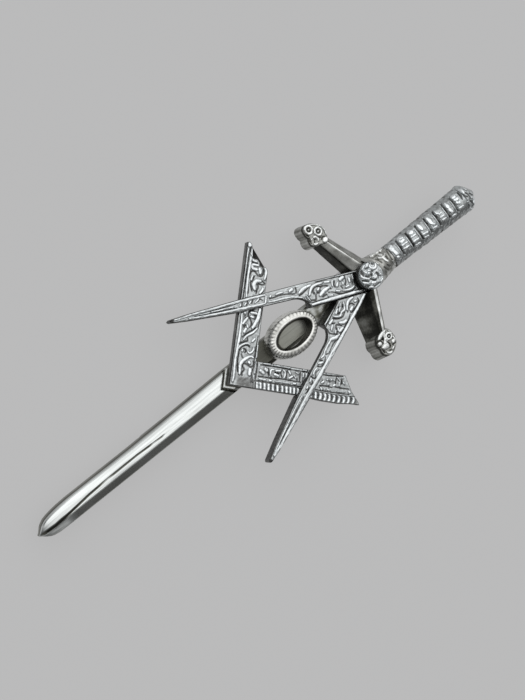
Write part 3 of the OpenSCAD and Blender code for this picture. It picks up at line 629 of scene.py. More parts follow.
LEG_B_SUNK = [
    (0.14, 4.3, 0.3, 4.6, 0.7, 5.3, 0.82, 6.2, 0.72, 7, 0.62, 7.2, 0.35),
    (0.15, 5.7, 0.4, 5.75, -0.2, 6.2, -0.5, 7, -0.3, 7.5, -0.1),
    (0.18, 7.8, -0.6, 8.6, -0.5, 9.2, -0.85, 9.7, -1.45, 9.95, -2), (0.13, 6.9, -1.6, 7.2, -1.4),
    (0.13, 7.4, -1.8, 7.7, -2.1), (0.13, 8.5, -1.4, 8.8, -1.6),
    (0.14, 7.6, 0.5, 8.6, 0.68, 10, 0.68, 11.2, 0.6, 12.4, 0.52, 13.5, 0.3, 14.5, 0.25, 15.5, 0.35),
    (0.13, 10.15, 0.1, 10.4, -0.5, 10.65, -0.95), (0.13, 10.65, -0.9, 11.3, -0.5, 11.8, 0),
    (0.15, 10.5, -1.3, 10.9, -1.7), (0.15, 11.9, 0.1, 12.3, -0.6, 12.55, -1.3, 12.2, -1.9),
    (0.12, 6.8, -2.6, 9, -2.55, 11, -2.5, 11.9, -2.4), (0.14, 15.7, 0.3, 16.1, 0),
    (0.15, 16.6, 0.1, 17.3, 0.33, 18, 0.36, 18.5, 0.12, 18.75, -0.4), (0.13, 17.4, -0.1, 17.6, -0.7),
    (0.15, 19.1, 0.1, 19.8, -0.1, 20.2, 0, 20.6, 0.2, 20.9, 0, 20.9, -0.6),
    (0.13, 21.4, 0, 21.9, 0.15, 22.15, -0.1), (0.13, 22.7, 0, 23.3, 0.05, 24, -0.1),
    (0.12, 24.5, -0.1, 27, -0.1, 30, -0.05, 34, 0)]

# Shape of the arms' ends. Columns: share of the width, share of the cut.
ARM_A_END = np.array([
    (0, 0.02), (0.1, 0), (0.22, 0.08), (0.27, 0.3), (0.285, 0.42), (0.33, 0.5), (0.53, 0.53), (0.62, 0.62),
    (0.64, 0.7), (0.75, 0.73), (0.88, 0.73), (0.97, 0.8), (1, 0.88)])
ARM_B_END = np.array([(0, 0.02), (0.08, 0.05), (0.42, 0.34), (0.56, 0.42), (0.83, 0.58), (1, 0.66)])
ARM_A_CELLS, ARM_B_CELLS = (440, 90), (420, 96)
# tone of the square's walls: painted shade
ARM_WALL_SHADE = 0.85


def build_square():
    s, n, sn, far = arm_grid(SCROLL_W, 0.0, ARM_A_END, ARM_A_CELLS)
    edge = np.minimum(np.minimum(n, SCROLL_W - n), np.minimum(s, far))
    h, tone = carve(sn, ARM_A_RAISED, ARM_A_SUNK, 0.42, 0.19, 0.09)
    h = blur(h, 0.5, 0.5) + grain(h.shape)
    wear_and_painted_light = patina(h, tone, (ARM_L / ARM_A_CELLS[0], SCROLL_W / ARM_A_CELLS[1]))
    corner = (1 - ease(s, 1.4, 2.0)) * ease(n, 1.1, 1.5)
    wear_and_painted_light = mix(wear_and_painted_light, 0.76, corner)
    # painted shade: a dark line along the scroll arm's edges
    wear_and_painted_light = painted_shade_edge(wear_and_painted_light, edge, 0.95, 0.1, 0.22)
    z = np.minimum(SQUARE_FIELD + 0.08 + h, SQUARE_TOP + 0.03) - edge_round(edge, 0.2)
    grids = [plate(sn, z, np.full_like(z, SQUARE_Z), arm_place(1), wear_and_painted_light, ARM_WALL_SHADE)]

    s, n, sn, far = arm_grid(RIB_W, SCROLL_W - 0.08, ARM_B_END, ARM_B_CELLS)
    edge = np.minimum(np.minimum(n, RIB_W - n), far)
    h, tone = carve(sn, ARM_B_RAISED, ARM_B_SUNK, 0.48, 0.19, 0.1)
    right = ease(s, 15, 18)
    centre = s + 0.12 * (1 - right) * (n - 0.7) - right * 0.22 * (1 - ((n - 0.65) / 0.65) ** 2)
    gap = np.min(np.abs(centre[..., None] - np.array(RIBS)), -1)
    rib = cap(gap / 0.33) * ease(n, 0.0, 0.16) * (1 - ease(n, 1.18, 1.34))
    band = 1 - ease(n, 1.28, 1.4)
    h = mix(h, 0.28 * rib - 0.13, band)
    tone = mix(tone, 0.58 - 0.46 * rib ** 0.7, band)
    h = blur(h, 0.5, 0.5) + grain(h.shape)
    wear_and_painted_light = patina(h, tone, ((ARM_L - SCROLL_W) / ARM_B_CELLS[0], RIB_W / ARM_B_CELLS[1]))
    # painted shade: a dark line along the ribbed arm's edges
    wear_and_painted_light = painted_shade_edge(wear_and_painted_light, edge, 0.92, 0.08, 0.2)
    z = np.minimum(SQUARE_FIELD + 0.06 + h, SQUARE_TOP) - edge_round(edge, 0.14)
    bow = 0.3 * ease(s, 13, 18) * (1 - ease(s, 20.5, 24))
    sn = points(s, n - bow * (1 - n / RIB_W) ** 2)
    grids.append(plate(sn, z, np.full_like(z, SQUARE_Z), arm_place(-1), wear_and_painted_light, ARM_WALL_SHADE))
    piece("square_cast", grids, CAST, ["square"])


# Compasses

def leg_place(side):
    c, s_ = math.cos(LEG_ANGLE), math.sin(LEG_ANGLE)

    def place(s, n, z):
        return points(PIVOT_X - s * c + n * s_, side * (s * s_ + n * c), z)
    return place


def leg_sides():
    """Outline of a leg: distance from the pivot, outer and inner width."""
    slim, neck_in = NECK_W * 0.27, NECK_W * 0.46
    tip = [(LEG_L * 0.9, slim), (LEG_L - 0.3, 0.3), (LEG_L - 0.08, 0.16), (LEG_L, 0.02)]
    outer = np.array([(0, LEG_OUT), (SHOULDER, LEG_OUT * 0.92), (LEG_L * 0.68, neck_in), *tip])
    a = np.radians(np.linspace(0, 90, 14))
    arc_s = SHOULDER + 0.02 + NECK_L * (1 - np.cos(a))
    arc = points(arc_s, mix(LEG_IN, neck_in, np.sin(a)))
    inner = np.array([(0, LEG_IN * 0.8), (SHOULDER, LEG_IN), *arc, (LEG_L * 0.68, NECK_W * 0.48), *tip])
    return outer, inner


def far_of_arm(x, y, side):
    """Distance beyond the outer edge of the arm that a leg crosses, negative inside."""
    return -((x - CORNER_X) - side * y) * math.sqrt(0.5)


LEG_CELL = (1.0 / 17.0, 4.6 / 80)
# tone of the legs' walls and edge lines: painted shade
LEG_WALL_SHADE = 0.93
LAP_Z = 3.5


def build_leg(side, name, node, raised, sunk):
    outer, inner = leg_sides()
    s1 = np.concatenate([np.linspace(0, SHOULDER, 210),
                         SHOULDER + 0.02 + NECK_L * (1 - np.cos(np.linspace(0, math.pi / 2, 70))),
                         np.linspace(SHOULDER + NECK_L + 0.1, LEG_L, 360)])
    v = np.linspace(0, 1, 80)
    no, ni = read(outer, s1), read(inner, s1)
    n = -ni[:, None] + (no + ni)[:, None] * v
    s = np.broadcast_to(s1[:, None], n.shape)
    sn = points(s, n)
    edge = np.minimum(line_distance(sn, outer), line_distance(sn, inner * [1, -1]))
    h, tone = carve(sn, raised, sunk, 0.42, 0.2, 0.09)
    h = blur(h, 0.5, 0.5) + grain(h.shape)
    wear_and_painted_light = patina(h, tone, LEG_CELL)
    # painted shade: a dark line along the leg's outline
    wear_and_painted_light = painted_shade_edge(wear_and_painted_light, edge, LEG_WALL_SHADE, 0.08, 0.2)
    wear_and_painted_light = np.maximum(wear_and_painted_light, ease(s, LEG_L - 0.9, LEG_L - 0.5))
    place = leg_place(side)
    x, y, _ = np.moveaxis(place(s, n, s * 0), -1, 0)
    z = np.minimum(LEG_FIELD + 0.06 + h, LEG_TOP + 0.02) - edge_round(edge, 0.2)
    # round trough beside the boss, painted dark as shade, darker towards +y
    moat = 1 - ease(np.hypot(x - PIVOT_X, y), 2.65, 2.8)
    moat = moat * ease(LEG_OUT - n, 0.3, 0.5) if side > 0 else moat
    z = z - 0.5 * moat
    wear_and_painted_light = np.maximum(wear_and_painted_light, moat * (0.6 + 0.4 * ease(y, -1.7, -0.7)))
    bottom = np.where((s > SHOULDER) & (far_of_arm(x, y, side) < 0.05), LEG_OVER, LEG_Z)
    if side < 0:
        # the other leg laps over this one at the hub; under it and in a band beside it this leg is painted
        # dark as shade
        c, s_ = math.cos(LEG_ANGLE), math.sin(LEG_ANGLE)
        dx = PIVOT_X - x
        along, out = dx * c + y * s_, y * c - dx * s_
        under = np.minimum(LEG_OUT + 0.06 - out, out + read(inner, along) + 0.06)
        z = np.where(under > 0, np.minimum(z, LAP_Z), z)
        wear_and_painted_light = np.where(under > -0.14, 0.9, wear_and_painted_light)
    piece(name, [plate(sn, z, bottom, place, wear_and_painted_light, LEG_WALL_SHADE, 0.14, 17)], CAST, [node])


# Boss

BOSS_RAISED = [
    (0.26, 70.25, 2.1, 69.98, 1.5, 70.05, 0.8, 70.4, 0.2, 70.95, -0.3),
    (0.28, 70.8, 1.85, 71.25, 2.05, 71.8, 2.2), (0.22, 70.9, 1.3, 71.1, 0.9), (0.2, 71.45, 0.6, 71.6, 0.5),
    (0.22, 72.4, 2.35, 72.65, 2.3),
    (0.26, 73.15, 2.1, 73.7, 1.85, 73.75, 1.2, 73.3, 0.65, 72.75, 0.75, 72.4, 1.25, 72.6, 1.6),
    (0.3, 72.15, -0.2, 72.35, -0.65), (0.26, 71.75, -0.5, 72.2, -0.8), (0.26, 69.5, -0.1, 70.3, -0.8),
    (0.3, 71.15, -1.2, 71.6, -1.5), (0.27, 73.35, -0.9, 73.45, -1), (0.2, 70.2, -1.5, 70.8, -1.9),
    (0.2, 72.7, -2, 73.3, -1.75), (0.22, 71.7, 1, 72, 0.8)]
BOSS_SUNK = [
    (0.34, 70.6, 1.55, 70.55, 1.2, 70.5, 0.75), (0.24, 70.85, 0.45, 71.3, 0.05, 71.75, 0, 72, 0.25),
    (0.15, 71.5, 1.5, 72, 1.4), (0.22, 73.2, 1.5, 73.35, 1.4), (0.17, 72.4, 0.5, 72.5, 0.4),
    (0.18, 71.35, -0.5, 72.1, -1.15), (0.18, 69.9, 0.2, 70.7, -0.6),
    (0.2, 72.85, -0.2, 73.05, -0.6, 72.75, -1.2), (0.18, 69.7, -1, 70.5, -1.3),
    (0.15, 71.2, -1.95, 72.3, -2), (0.14, 72.9, 1.9, 72.75, 1.6)]

BOSS_SHIFT = (-LEAN_X * 0.6, LEAN_Y * 0.6)


def build_boss():
    t = turn(220)
    r = np.linspace(0.004, 1, 70)
    T, R = grid(t, r)
    rho = R * BOSS_R * (0.985 + 0.008 * np.cos(6 * T + 0.5) + 0.01 * np.cos(11 * T))
    x, y = PIVOT_X + rho * np.cos(T), rho * np.sin(T)
    h, tone = carve(points(x, y), BOSS_RAISED, BOSS_SUNK, 0.25, 0.26, 0.22, 0.0, BOSS_SHIFT)
    flower = 1 - ease(R, 0.94, 1.0)
    h = mix(-0.1, h, flower) + 0.22 * (1 - R ** 2) + grain(h.shape)
    h = blur(h, 0.7, 0.7)
    tone += 0.6 * np.maximum(tone - 0.6, 0)
    wear_and_painted_light = unit(mix(0.5, tone, flower))
    top = BOSS_Z + BOSS_H + h - 0.2 * ease(R, 0.93, 1.0)
    P = [points(x, y, top)]
    for radius, z in ((BOSS_R, 1.2), (BOSS_R, 0.6), (BOSS_R * 0.99, 0.03), (0.01, 0.01)):
        P.append(level(PIVOT_X + radius * np.cos(t), radius * np.sin(t), BOSS_Z + z))
    # painted shade: black on the side that faces the blade, smooth grey towards the grip
    side = 0.66 - 0.55 * np.cos(t + 0.25)[:, None]
    W = np.concatenate([wear_and_painted_light, side, side, side + 0.1, side + 0.1], 1)
    piece("boss_flower", [(np.concatenate(P, 1), unit(W), True, False, False)], CAST, ["pivot_boss"])


# Oval ring

# Columns: share of the way from the hole to the outside, share of the height.
RING_SECTION = np.array([
    (0, 0.02), (0, 0.5), (0, 0.88), (0.03, 0.95), (0.07, 0.985), (0.14, 1), (0.24, 1), (0.34, 0.995),
    (0.44, 0.985), (0.54, 0.97), (0.64, 0.95), (0.74, 0.91), (0.83, 0.84), (0.91, 0.7), (0.96, 0.52),
    (0.99, 0.36), (1, 0.2), (1, 0.02)])
NOTCHES = 19


def build_ring():
    a = turn(360)
    U, Z = RING_SECTION.T
    bead = np.abs(np.sin(NOTCHES * a))[:, None] ** 0.7
    on = ease(U, 0.26, 0.5)
    u = U - 0.04 * on * (1 - bead) * (U > 0.5)
    z = RING_H * (Z - 0.035 * on * (1 - bead))
    px, py = [mix(hole, rim, u) / 2 for hole, rim in zip(RING_IN, RING_OUT)]
    P = points(RING_X + px * np.cos(a)[:, None], py * np.sin(a)[:, None], RING_Z + z)
    wear_and_painted_light = 0.08 + on * (0.12 + 0.3 * (1 - bead) ** 1.4)
    wear_and_painted_light = wear_and_painted_light + 0.1 * blur(RNG.standard_normal(z.shape), 4, 1) / 0.14
    # painted shade: a dark band along the hole's edge
    wear_and_painted_light = painted_shade_edge(wear_and_painted_light, U, 0.95, 0.01, 0.06)
    wear_and_painted_light = np.maximum(wear_and_painted_light, 0.42 * np.exp(-((U - 0.36) / 0.05) ** 2))
    wear_and_painted_light = unit(wear_and_painted_light + 0.1 * np.sin(3 * a + 1)[:, None])
    piece("ring_oval", [(P, wear_and_painted_light, True, True, False)], RING, ["oval_ring"])


# Guard

ARM_FROM, ARM_TO = 2.3, 11.2
ARM_ROWS, ARM_STEPS = 100, 10


def arm_loft(side, ridge_at, sweep, crown, ahead, foot, back, high, base_end, tones):
    """Swept arm of the guard: deep wall towards the tip, front facet, ridge, and a facet behind.

    Each pair holds at the hub and at the knob: crown, ahead and foot are the distances from the ridge to the
    flat top's edge, the wall's upper edge and its foot, and back the one to the foot of the hilt side. sweep
    is how far the ridge runs back, base_end how far the base rises. tones paint light and shade by how each
    part faces the light: wall, shade under the edge, facet, ridge and hilt side.
    """
    t = np.linspace(0, 1, ARM_ROWS)
    y = ARM_FROM + (ARM_TO - ARM_FROM) * t
    share = unit((y - 2.25) / (11.65 - 2.25))
    ridge_x = BLADE_L + ridge_at - sweep * share
    top = 5.6 * high - 0.75 * share
    z0 = base_end * share
    rows = []
    for i in range(len(t)):
        a, f, b = [mix(*v, share[i]) for v in (ahead, foot, back)]
        c = mix(*crown, min(share[i] / 0.3, 1))
        rise = top[i] - z0[i]
        poly = np.array([(-f, z0[i]), (-a, top[i] - 0.42 * (a - c)), (-c, top[i]),
                         (0.17 if side > 0 else 0.32, top[i] - 0.03), (0.4 * b, z0[i] + rise * 0.8),
                         (0.72 * b, z0[i] + rise * 0.62), (b, z0[i] + rise * 0.38), (b, z0[i])])
        step = np.linspace(0, 1, ARM_STEPS, endpoint=False)[:, None]
        rows.append(np.concatenate([p + (q - p) * step for p, q in zip(poly, np.roll(poly, -1, 0))]))
    P = np.array(rows)
    P = points(*[blur(P[..., i], 0, 0.8, True) for i in (0, 1)])
    k = P.shape[1]
    rough = mottle((len(t), k), 5, 3, 0.12)
    zz = P[..., 1] + 0.035 * rough * (P[..., 1] > 0.6)
    j = np.arange(k) / ARM_STEPS
    wall, shade, facet, crest, hilt = tones
    facet_light_and_shade = np.interp(j, [0, 0.55, 0.86, 1.0, 1.12, 1.86, 1.97, 2.45, 2.7, 3.4, 4.4, 5.4, 6.2, 8],
                       [wall, wall, shade, shade, facet, facet, crest, crest, hilt + 0.25, hilt, hilt + 0.1,
                        hilt, 0.7, 0.8])
    wear_and_painted_light = np.tile(facet_light_and_shade, (len(t), 1)) + 0.1 * rough
    # on the first arm the ridge and its facet are painted darker towards both ends
    if side > 0:
        wear_and_painted_light += 0.35 * (np.abs(share - 0.5) / 0.5)[:, None] ** 2 * ((j > 1.9) & (j < 2.6))
    out = points(ridge_x[:, None] + P[..., 0], side * np.broadcast_to(y[:, None], zz.shape), zz)
    return out, unit(wear_and_painted_light), False, True, True


KNOB_1 = [
    (66.2, 13.5), (66.7, 13.95), (67.6, 13.85), (68.8, 13.1), (69.6, 12.3), (69.85, 11.3), (69.6, 10.3),
    (69.3, 9.5), (68.8, 9.2), (68.1, 9.4), (67.4, 9.65), (66.5, 9.75), (66.05, 10.3), (66, 11.1),
    (66.3, 11.75), (66.1, 12.6)]
KNOB_1_RAISED = [
    ring_row(67.15, 12.95, 0.7, 0.26), (0.13, 67.12, 12.95, 67.18, 12.95), ring_row(68.5, 11.75, 0.66, 0.23),
    (0.16, 68.47, 11.75, 68.53, 11.75), (0.22, 66.5, 10.4, 66.75, 10.15, 67.2, 10.1),
    (0.22, 67.6, 10.4, 67.75, 10.8, 67.5, 11.25, 67.1, 11.4), (0.14, 66.5, 11.2, 66.75, 11.35),
    (0.12, 67, 10.7, 67.05, 10.7), (0.5, 68.75, 9.75, 68.85, 9.72),
    (0.15, 67.9, 13.55, 68.8, 12.95, 69.5, 12.1, 69.65, 11.3, 69.4, 10.4)]
KNOB_1_SUNK = [
    ring_row(67.15, 12.95, 0.32, 0.1), ring_row(68.5, 11.75, 0.34, 0.1),
    (0.13, 66.85, 10.55, 67.1, 10.95, 67.3, 10.7), (0.2, 66.3, 13.4, 66.35, 12.5, 66.5, 12),
    (0.17, 66.45, 11.7, 66.2, 11.2, 66.2, 10.7), (0.15, 67.6, 12.2, 67.75, 12.4),
    (0.15, 67.75, 11.5, 67.9, 10.9, 68.3, 10.6), (0.13, 68.2, 10.2, 68.6, 10.45, 69.1, 10.3)]
KNOB_2 = [
    (66, -10.15), (66.5, -9.7), (67.6, -9.3), (68.7, -9.1), (69.3, -9.7), (69.6, -10.8), (69.4, -12.3),
    (68.5, -13.2), (67.3, -13.7), (66.3, -13.5), (65.8, -12.7), (65.9, -11.8), (65.7, -11)]
KNOB_2_RAISED = [
    (0.4, 66.2, -10.9, 66.3, -10.9), (0.36, 66.6, -10.1, 67.4, -9.8, 68.5, -9.5),
    (0.5, 66.6, -11.8, 67.2, -11.9), (0.34, 67.2, -11.4, 67.7, -10.9), ring_row(68.55, -10.8, 0.56, 0.24),
    (0.14, 68.5, -10.8, 68.55, -10.8), (0.34, 68.7, -12, 68.8, -12),
    (0.26, 66.6, -12.9, 66.9, -13.3, 67.4, -13.3), (0.16, 67.8, -13, 68.2, -12.8),
    (0.18, 69.2, -11.4, 69.2, -12), (0.12, 69.1, -9.9, 69.3, -10.6)]
KNOB_2_SUNK = [
    ring_row(66.25, -10.9, 0.6, 0.19), ring_row(68.55, -10.8, 0.26, 0.1), (0.2, 67.1, -10.5, 67.7, -10.2),
    (0.17, 67.7, -11.4, 67.9, -12.2, 67.6, -12.6), (0.16, 67.3, -13, 67.4, -13),
    (0.18, 66.1, -11.9, 66.2, -12.7), (0.15, 68.4, -12.5, 69, -12.5), (0.13, 68.2, -11.5, 69, -11.4)]
# Columns: share of the wall's height, how much darker painted shade makes it there.
KNOB_WALL = [(0.05, 0.5), (0.13, 0.45), (0.22, 0), (0.6, 0), (0.96, 0.05), (1, 0.3)]


def knob_grid(outline, centre, raised, sunk, thick, spread, lean, tone_wall):
    """Knob plate with its rings, on a deep wall that spreads towards its foot."""
    cx, cy = centre
    t = turn(280)
    ux, uy = np.cos(t), np.sin(t)
    ox, oy = (np.array(outline) - centre).T
    reach = np.interp(t, np.arctan2(oy, ox), np.hypot(ox, oy), period=2 * math.pi)
    reach = blur(reach[None], 0, 2.0, True)[0]
    v = np.linspace(0.003, 1, 64)
    x, y = cx + reach[:, None] * v * ux[:, None], cy + reach[:, None] * v * uy[:, None]
    edge = (1 - v)[None, :] * reach[:, None]
    h, tone = carve(points(x, y), raised, sunk, 0.52, 0.22, 0.13, 0.0)
    h = blur(h, 0.8, 0.6) + grain(h.shape, 0.01)
    tone += np.maximum(tone - 0.6, 0)
    # painted shade: a dark line along the knob's top edge
    wear_and_painted_light = painted_shade_edge(tone, edge, 0.8, 0.04, 0.14)
    z = KNOB_TOP + h - edge_round(edge, 0.22)
    P, W = [points(x, y, z)], [wear_and_painted_light]
    facets = 0.1 * np.sin(9 * t + 2 * np.sin(3 * t)) + 0.06 * np.sin(23 * t)
    for share, black in KNOB_WALL:
        grow = 1 + spread * share + 0.012 * facets
        P.append(level(cx + lean[0] * share + reach * grow * ux, cy + lean[1] * share + reach * grow * uy,
                       KNOB_TOP - share * thick))
        W.append(unit(tone_wall + black + facets)[:, None])
    P.append(level(cx + 0.01 * ux, cy + 0.01 * uy, KNOB_TOP - thick))
    W.append(np.full((len(t), 1), 0.9))
    return np.concatenate(P, 1), np.concatenate(W, 1), True, False, False


def revolve(xs, a, radius, wear_and_painted_light, z_cap=None):
    """Closed turned shape: radius and wear over the places xs along the hilt and the angles a."""
    P = points(np.broadcast_to(xs[:, None], radius.shape), radius * np.cos(a), AXIS_Z + radius * np.sin(a))
    if z_cap is not None:
        P[..., 2] = np.clip(P[..., 2], 0, z_cap(P))

    def close(row):
        return mix(row.mean(1, keepdims=True), row, 0.01)
    P = np.concatenate([close(P[:1]), P, close(P[-1:])], 0)
    W = np.concatenate([wear_and_painted_light[:1], wear_and_painted_light, wear_and_painted_light[-1:]], 0)
    return P, W, False, True, False


COLLAR_R = (3.35, 2.35)
COLLAR_RAISED = [
    (0.24, 75.2, 1.55, 75.8, 1.2, 76.4, 1.15, 76.8, 1.4), (0.25, 76, 1.1, 76.2, 0.5, 76.4, -0.1),
    (0.2, 75.7, 2, 76.1, 1.6), (0.16, 74.3, 1, 74.5, 0.6), (0.18, 74.2, 2.75, 76.8, 2.6),
    (0.14, 77.3, -0.6, 77.4, -1.3)]
COLLAR_SUNK = [
    (0.15, 74.3, 2.3, 75.4, 2.3, 76.6, 2.25), (0.17, 76.8, 0.9, 76.7, 0.3),
    (0.17, 77.5, 2, 77.45, 0.6, 77.4, -0.4), (0.17, 74.6, 1.9, 75.1, 1.1, 75.3, 0.4),
    (0.15, 76, -0.6, 76.3, -1.2), (0.15, 75.2, -0.6, 75.6, -1.4)]


def seen(x, r, a):
    """Where a point of the turned hilt appears on the level plane that its relief is drawn on."""
    z = AXIS_Z + r * np.sin(a) - DRAWN_LEVEL
    return points(x + LEAN_X * z, r * np.cos(a) - LEAN_Y * z)


# tones paint light and shade by facet: wall, shade, facet, ridge, hilt side
GUARD_ARMS = [
    dict(side=1, ridge_at=2.95, sweep=3.9, crown=(0.15, 0.15), ahead=(2.1, 1.0), foot=(2.15, 1.2),
         back=(2.4, 1.4), high=0.9, base_end=1.1, tones=(1.0, 1.0, 0.5, 0.12, 0.58)),
    dict(side=-1, ridge_at=2.35, sweep=3.95, crown=(0.35, 0.3), ahead=(1.5, 0.7), foot=(3.7, 1.6),
         back=(1.9, 1.6), high=1.0, base_end=0.1, tones=(0.88, 1.0, 1.0, 0.02, 0.4))]
GUARD_KNOBS = [
    dict(outline=KNOB_1, centre=(67.7, 11.75), raised=KNOB_1_RAISED, sunk=KNOB_1_SUNK,
         thick=3.7, spread=0.02, lean=(0, 0), tone_wall=0.58),
    dict(outline=KNOB_2, centre=(67.6, -11.4), raised=KNOB_2_RAISED, sunk=KNOB_2_SUNK,
         thick=4.7, spread=0.1, lean=(0.1, -0.5), tone_wall=0.68)]
# Section of the block under the hub: y and z.
BLOCK = [
    (-2.63, 0), (-2.63, 1.9), (-2.5, 2.2), (-2.3, 2.3), (0, 2.3), (2.3, 2.3), (2.5, 2.2), (2.63, 1.9),
    (2.63, 0)]
BLOCK_TOP = 2.3


def build_guard():
    grids = [arm_loft(**row) for row in GUARD_ARMS] + [knob_grid(**row) for row in GUARD_KNOBS]
    # block under the hub, painted dark as shade
    P = np.array([[(x, y, z) for y, z in BLOCK] for x in np.linspace(BLADE_L + 0.02, BLADE_L + 5.3, 24)])
    grids.append((P, np.full(P.shape[:2], 0.85), False, True, True))
    # collar with a raised leaf
    xs = np.linspace(PIVOT_X + 0.9, HILT_X, 110)
    a = turn(220)
    u = (xs - PIVOT_X) / (HILT_X - PIVOT_X)
    X, A = grid(xs, a)
    r = mix(*COLLAR_R, u)[:, None] + 0 * A
    h, tone = carve(seen(X, r, A), COLLAR_RAISED, COLLAR_SUNK, 0.46, 0.22, 0.14, 0.03)
    front = ease(np.sin(A), -0.1, 0.2)
    rough = mottle(r.shape, 3, 5, 0.08)
    r = r - 0.2 + h * front + 0.025 * rough
    wear_and_painted_light = unit(mix(0.6, tone, front) + 0.09 * rough)

    def z_cap(P):
        d = np.hypot(P[..., 0] - PIVOT_X, P[..., 1])
        return np.where(d < 2.5, BLOCK_TOP, 6.4)
    grids.append(revolve(xs, a, r, wear_and_painted_light, z_cap))
    piece("guard_cast", grids, GUARD_SHADED_SILVER, ["guard"], 42)


# Grip and pommel

GRIP_GROOVES = [77.6, 80.1, 82.55, 84.95, 87.25, 89.55, 91.95, 94.1]
GRIP_LINES = [79.65, 82.1, 84.45, 86.8, 89.05, 91.5, 93.65]
GRIP_RAISED = [
    (0.5, 78.45, 1.65, 78.5, 1.2), (0.36, 78.65, 0.5, 78.75, -0.1), (0.3, 78.6, -0.7, 78.9, -1),
    (0.3, 80.55, 1.5, 80.7, 1.9, 81.1, 2, 81.5, 1.7), (0.3, 80.8, 1.3, 81.4, 1.3),
    (0.21, 80.5, 0.6, 81.7, 0.52), (0.23, 80.4, -0.15, 81.7, -0.3), (0.42, 83.2, 1.7, 83.6, 1.5),
    (0.22, 82.95, 0.75, 83.9, 0.68), (0.24, 82.8, -0.2, 84, -0.32), (0.2, 82.85, -1.12, 83.9, -1.22),
    (0.36, 85.35, 1.75, 85.55, 1.2, 85.7, 0.6), (0.22, 85.2, -0.25, 86.25, -0.45),
    (0.16, 85.3, -0.95, 86.1, -1.1), (0.4, 87.8, 1.75, 87.85, 1.1, 87.9, 0.5),
    (0.28, 88.1, 0.25, 88.3, -0.05), (0.2, 87.7, -0.62, 88.6, -0.7),
    (0.26, 89.8, 1.85, 89.9, 1.4, 90.3, 1.1), (0.22, 90.3, 0.85, 90.8, 0.9), (0.22, 90.1, 0.22, 90.9, 0.18),
    (0.22, 90.3, -0.42, 91.1, -0.58), (0.36, 92.5, 1.7, 92.55, 1.2, 92.7, 0.8),
    (0.3, 92.6, 0.3, 92.75, -0.35), (0.17, 92.4, -1.1, 93.2, -1.2), (0.34, 94.6, 1.85, 95.1, 1.8),
    (0.3, 94.65, 1.2, 95.2, 1), (0.32, 94.7, 0.45, 95.1, 0.2), (0.22, 94.5, -0.72, 95.4, -0.8)]
POMMEL_R = 2.85
# Columns: share of the pommel's length, share of its radius.
CROWN_SECTION = np.array([
    (0, 0.84), (0.06, 0.96), (0.3, 1), (0.38, 0.96), (0.56, 0.76), (0.74, 0.5), (0.9, 0.26), (1, 0.08)])
CROWN_RAISED = [
    (0.4, 96.65, 2, 96.85, 1.6, 96.9, 1.1), (0.2, 96.15, -0.05, 96.5, -0.3),
    (0.2, 96.55, -0.65, 96.85, -1.1, 97.1, -1.5), (0.18, 95.85, -1.5, 95.9, -2),
    (0.18, 96.65, -1.7, 96.9, -2.1), (0.32, 97.9, -0.6, 98.3, -0.95), (0.15, 97.3, 2, 97.8, 1.3),
    (0.14, 97.5, -1.9, 98.2, -1.2), (0.13, 98.3, 0.4, 98.7, -0.1)]
CROWN_SUNK = [
    (0.14, 96.3, 1.9, 96.3, 0.9, 96.2, 0.4), (0.15, 96.7, 0.6, 97.2, 0.1),
    (0.13, 97.3, 1, 97.6, 0.2, 97.5, -0.6), (0.14, 96.3, -0.9, 96.3, -1.7), (0.13, 97.3, -0.9, 97.4, -1.6),
    (0.12, 97.9, 0.4, 98.4, -0.3)]


def build_grip():
    xs = np.linspace(0.05, GRIP_L - 0.05, 420)
    # close steps over the beaded front, wide ones around the plain back
    a = np.radians(np.concatenate([np.arange(8, 152, 1.2), np.arange(152, 368, 4)]))
    X, A = grid(HILT_X + xs, a)
    r = 2.4 + 0.4 * (X - HILT_X) / GRIP_L
    at = seen(X, r, A)
    raised = GRIP_RAISED + [(0.1, g, 1.4, g, -0.8) for g in GRIP_LINES]
    sunk = [(0.23, g, 2.25, g + 0.04, 1.0, g + 0.05, 0.0, g, -1.1) for g in GRIP_GROOVES]
    sunk.append((0.18, 96.1, 2.1, 96.2, 1.2, 96.1, 0.4))
    h, tone = carve(at, raised, sunk, 0.52, 0.2, 0.3, 0.02)
    front = ease(A, *np.radians((12, 24))) * (1 - ease(A, *np.radians((132, 148))))
    # the plain rails and the back carry shallow bands
    u = ((X - HILT_X) / (GRIP_L / 8)) % 1
    band = np.exp(-(((u + 0.02 + 0.5) % 1 - 0.5) / 0.09) ** 2)
    rough = mottle(X.shape, 3, 4, 0.1)
    radius = r - 0.18 + h * front - 0.1 * band * (1 - front) + 0.03 * rough
    tone += np.maximum(tone - 0.6, 0)
    wear_and_painted_light = unit(mix(0.63 + 0.3 * band, tone, front) + 0.08 * rough)
    piece("grip_beaded", [revolve(HILT_X + xs, a, radius, wear_and_painted_light)], CAST, ["grip"], 50)


def build_pommel():
    t = np.linspace(0, 1, 120)
    a = turn(240)
    T, A = grid(t, a)
    flute = 0.05 * ease(T, 0.3, 0.6) * (1 - np.abs(np.cos(3 * A)) ** 0.5)
    r = POMMEL_R * read(CROWN_SECTION, T) * (1 - flute)
    at = seen(POMMEL_X + POMMEL_L * T, r, A)
    h, tone = carve(at, CROWN_RAISED, CROWN_SUNK, 0.48, 0.2, 0.18, 0.0)
    front = ease(np.sin(A), -0.1, 0.25)
    rough = mottle(T.shape, 3, 3, 0.1)
    radius = r - 0.12 * np.interp(T, [0, 0.8, 1], [1, 1, 0.2]) + h * front + 0.025 * rough * (T < 0.95)
    wear_and_painted_light = unit(mix(0.55, tone, front) + 0.08 * rough)
    piece("pommel_crown", [revolve(POMMEL_X + t * POMMEL_L, a, radius, wear_and_painted_light)], CAST, ["pommel"], 50)


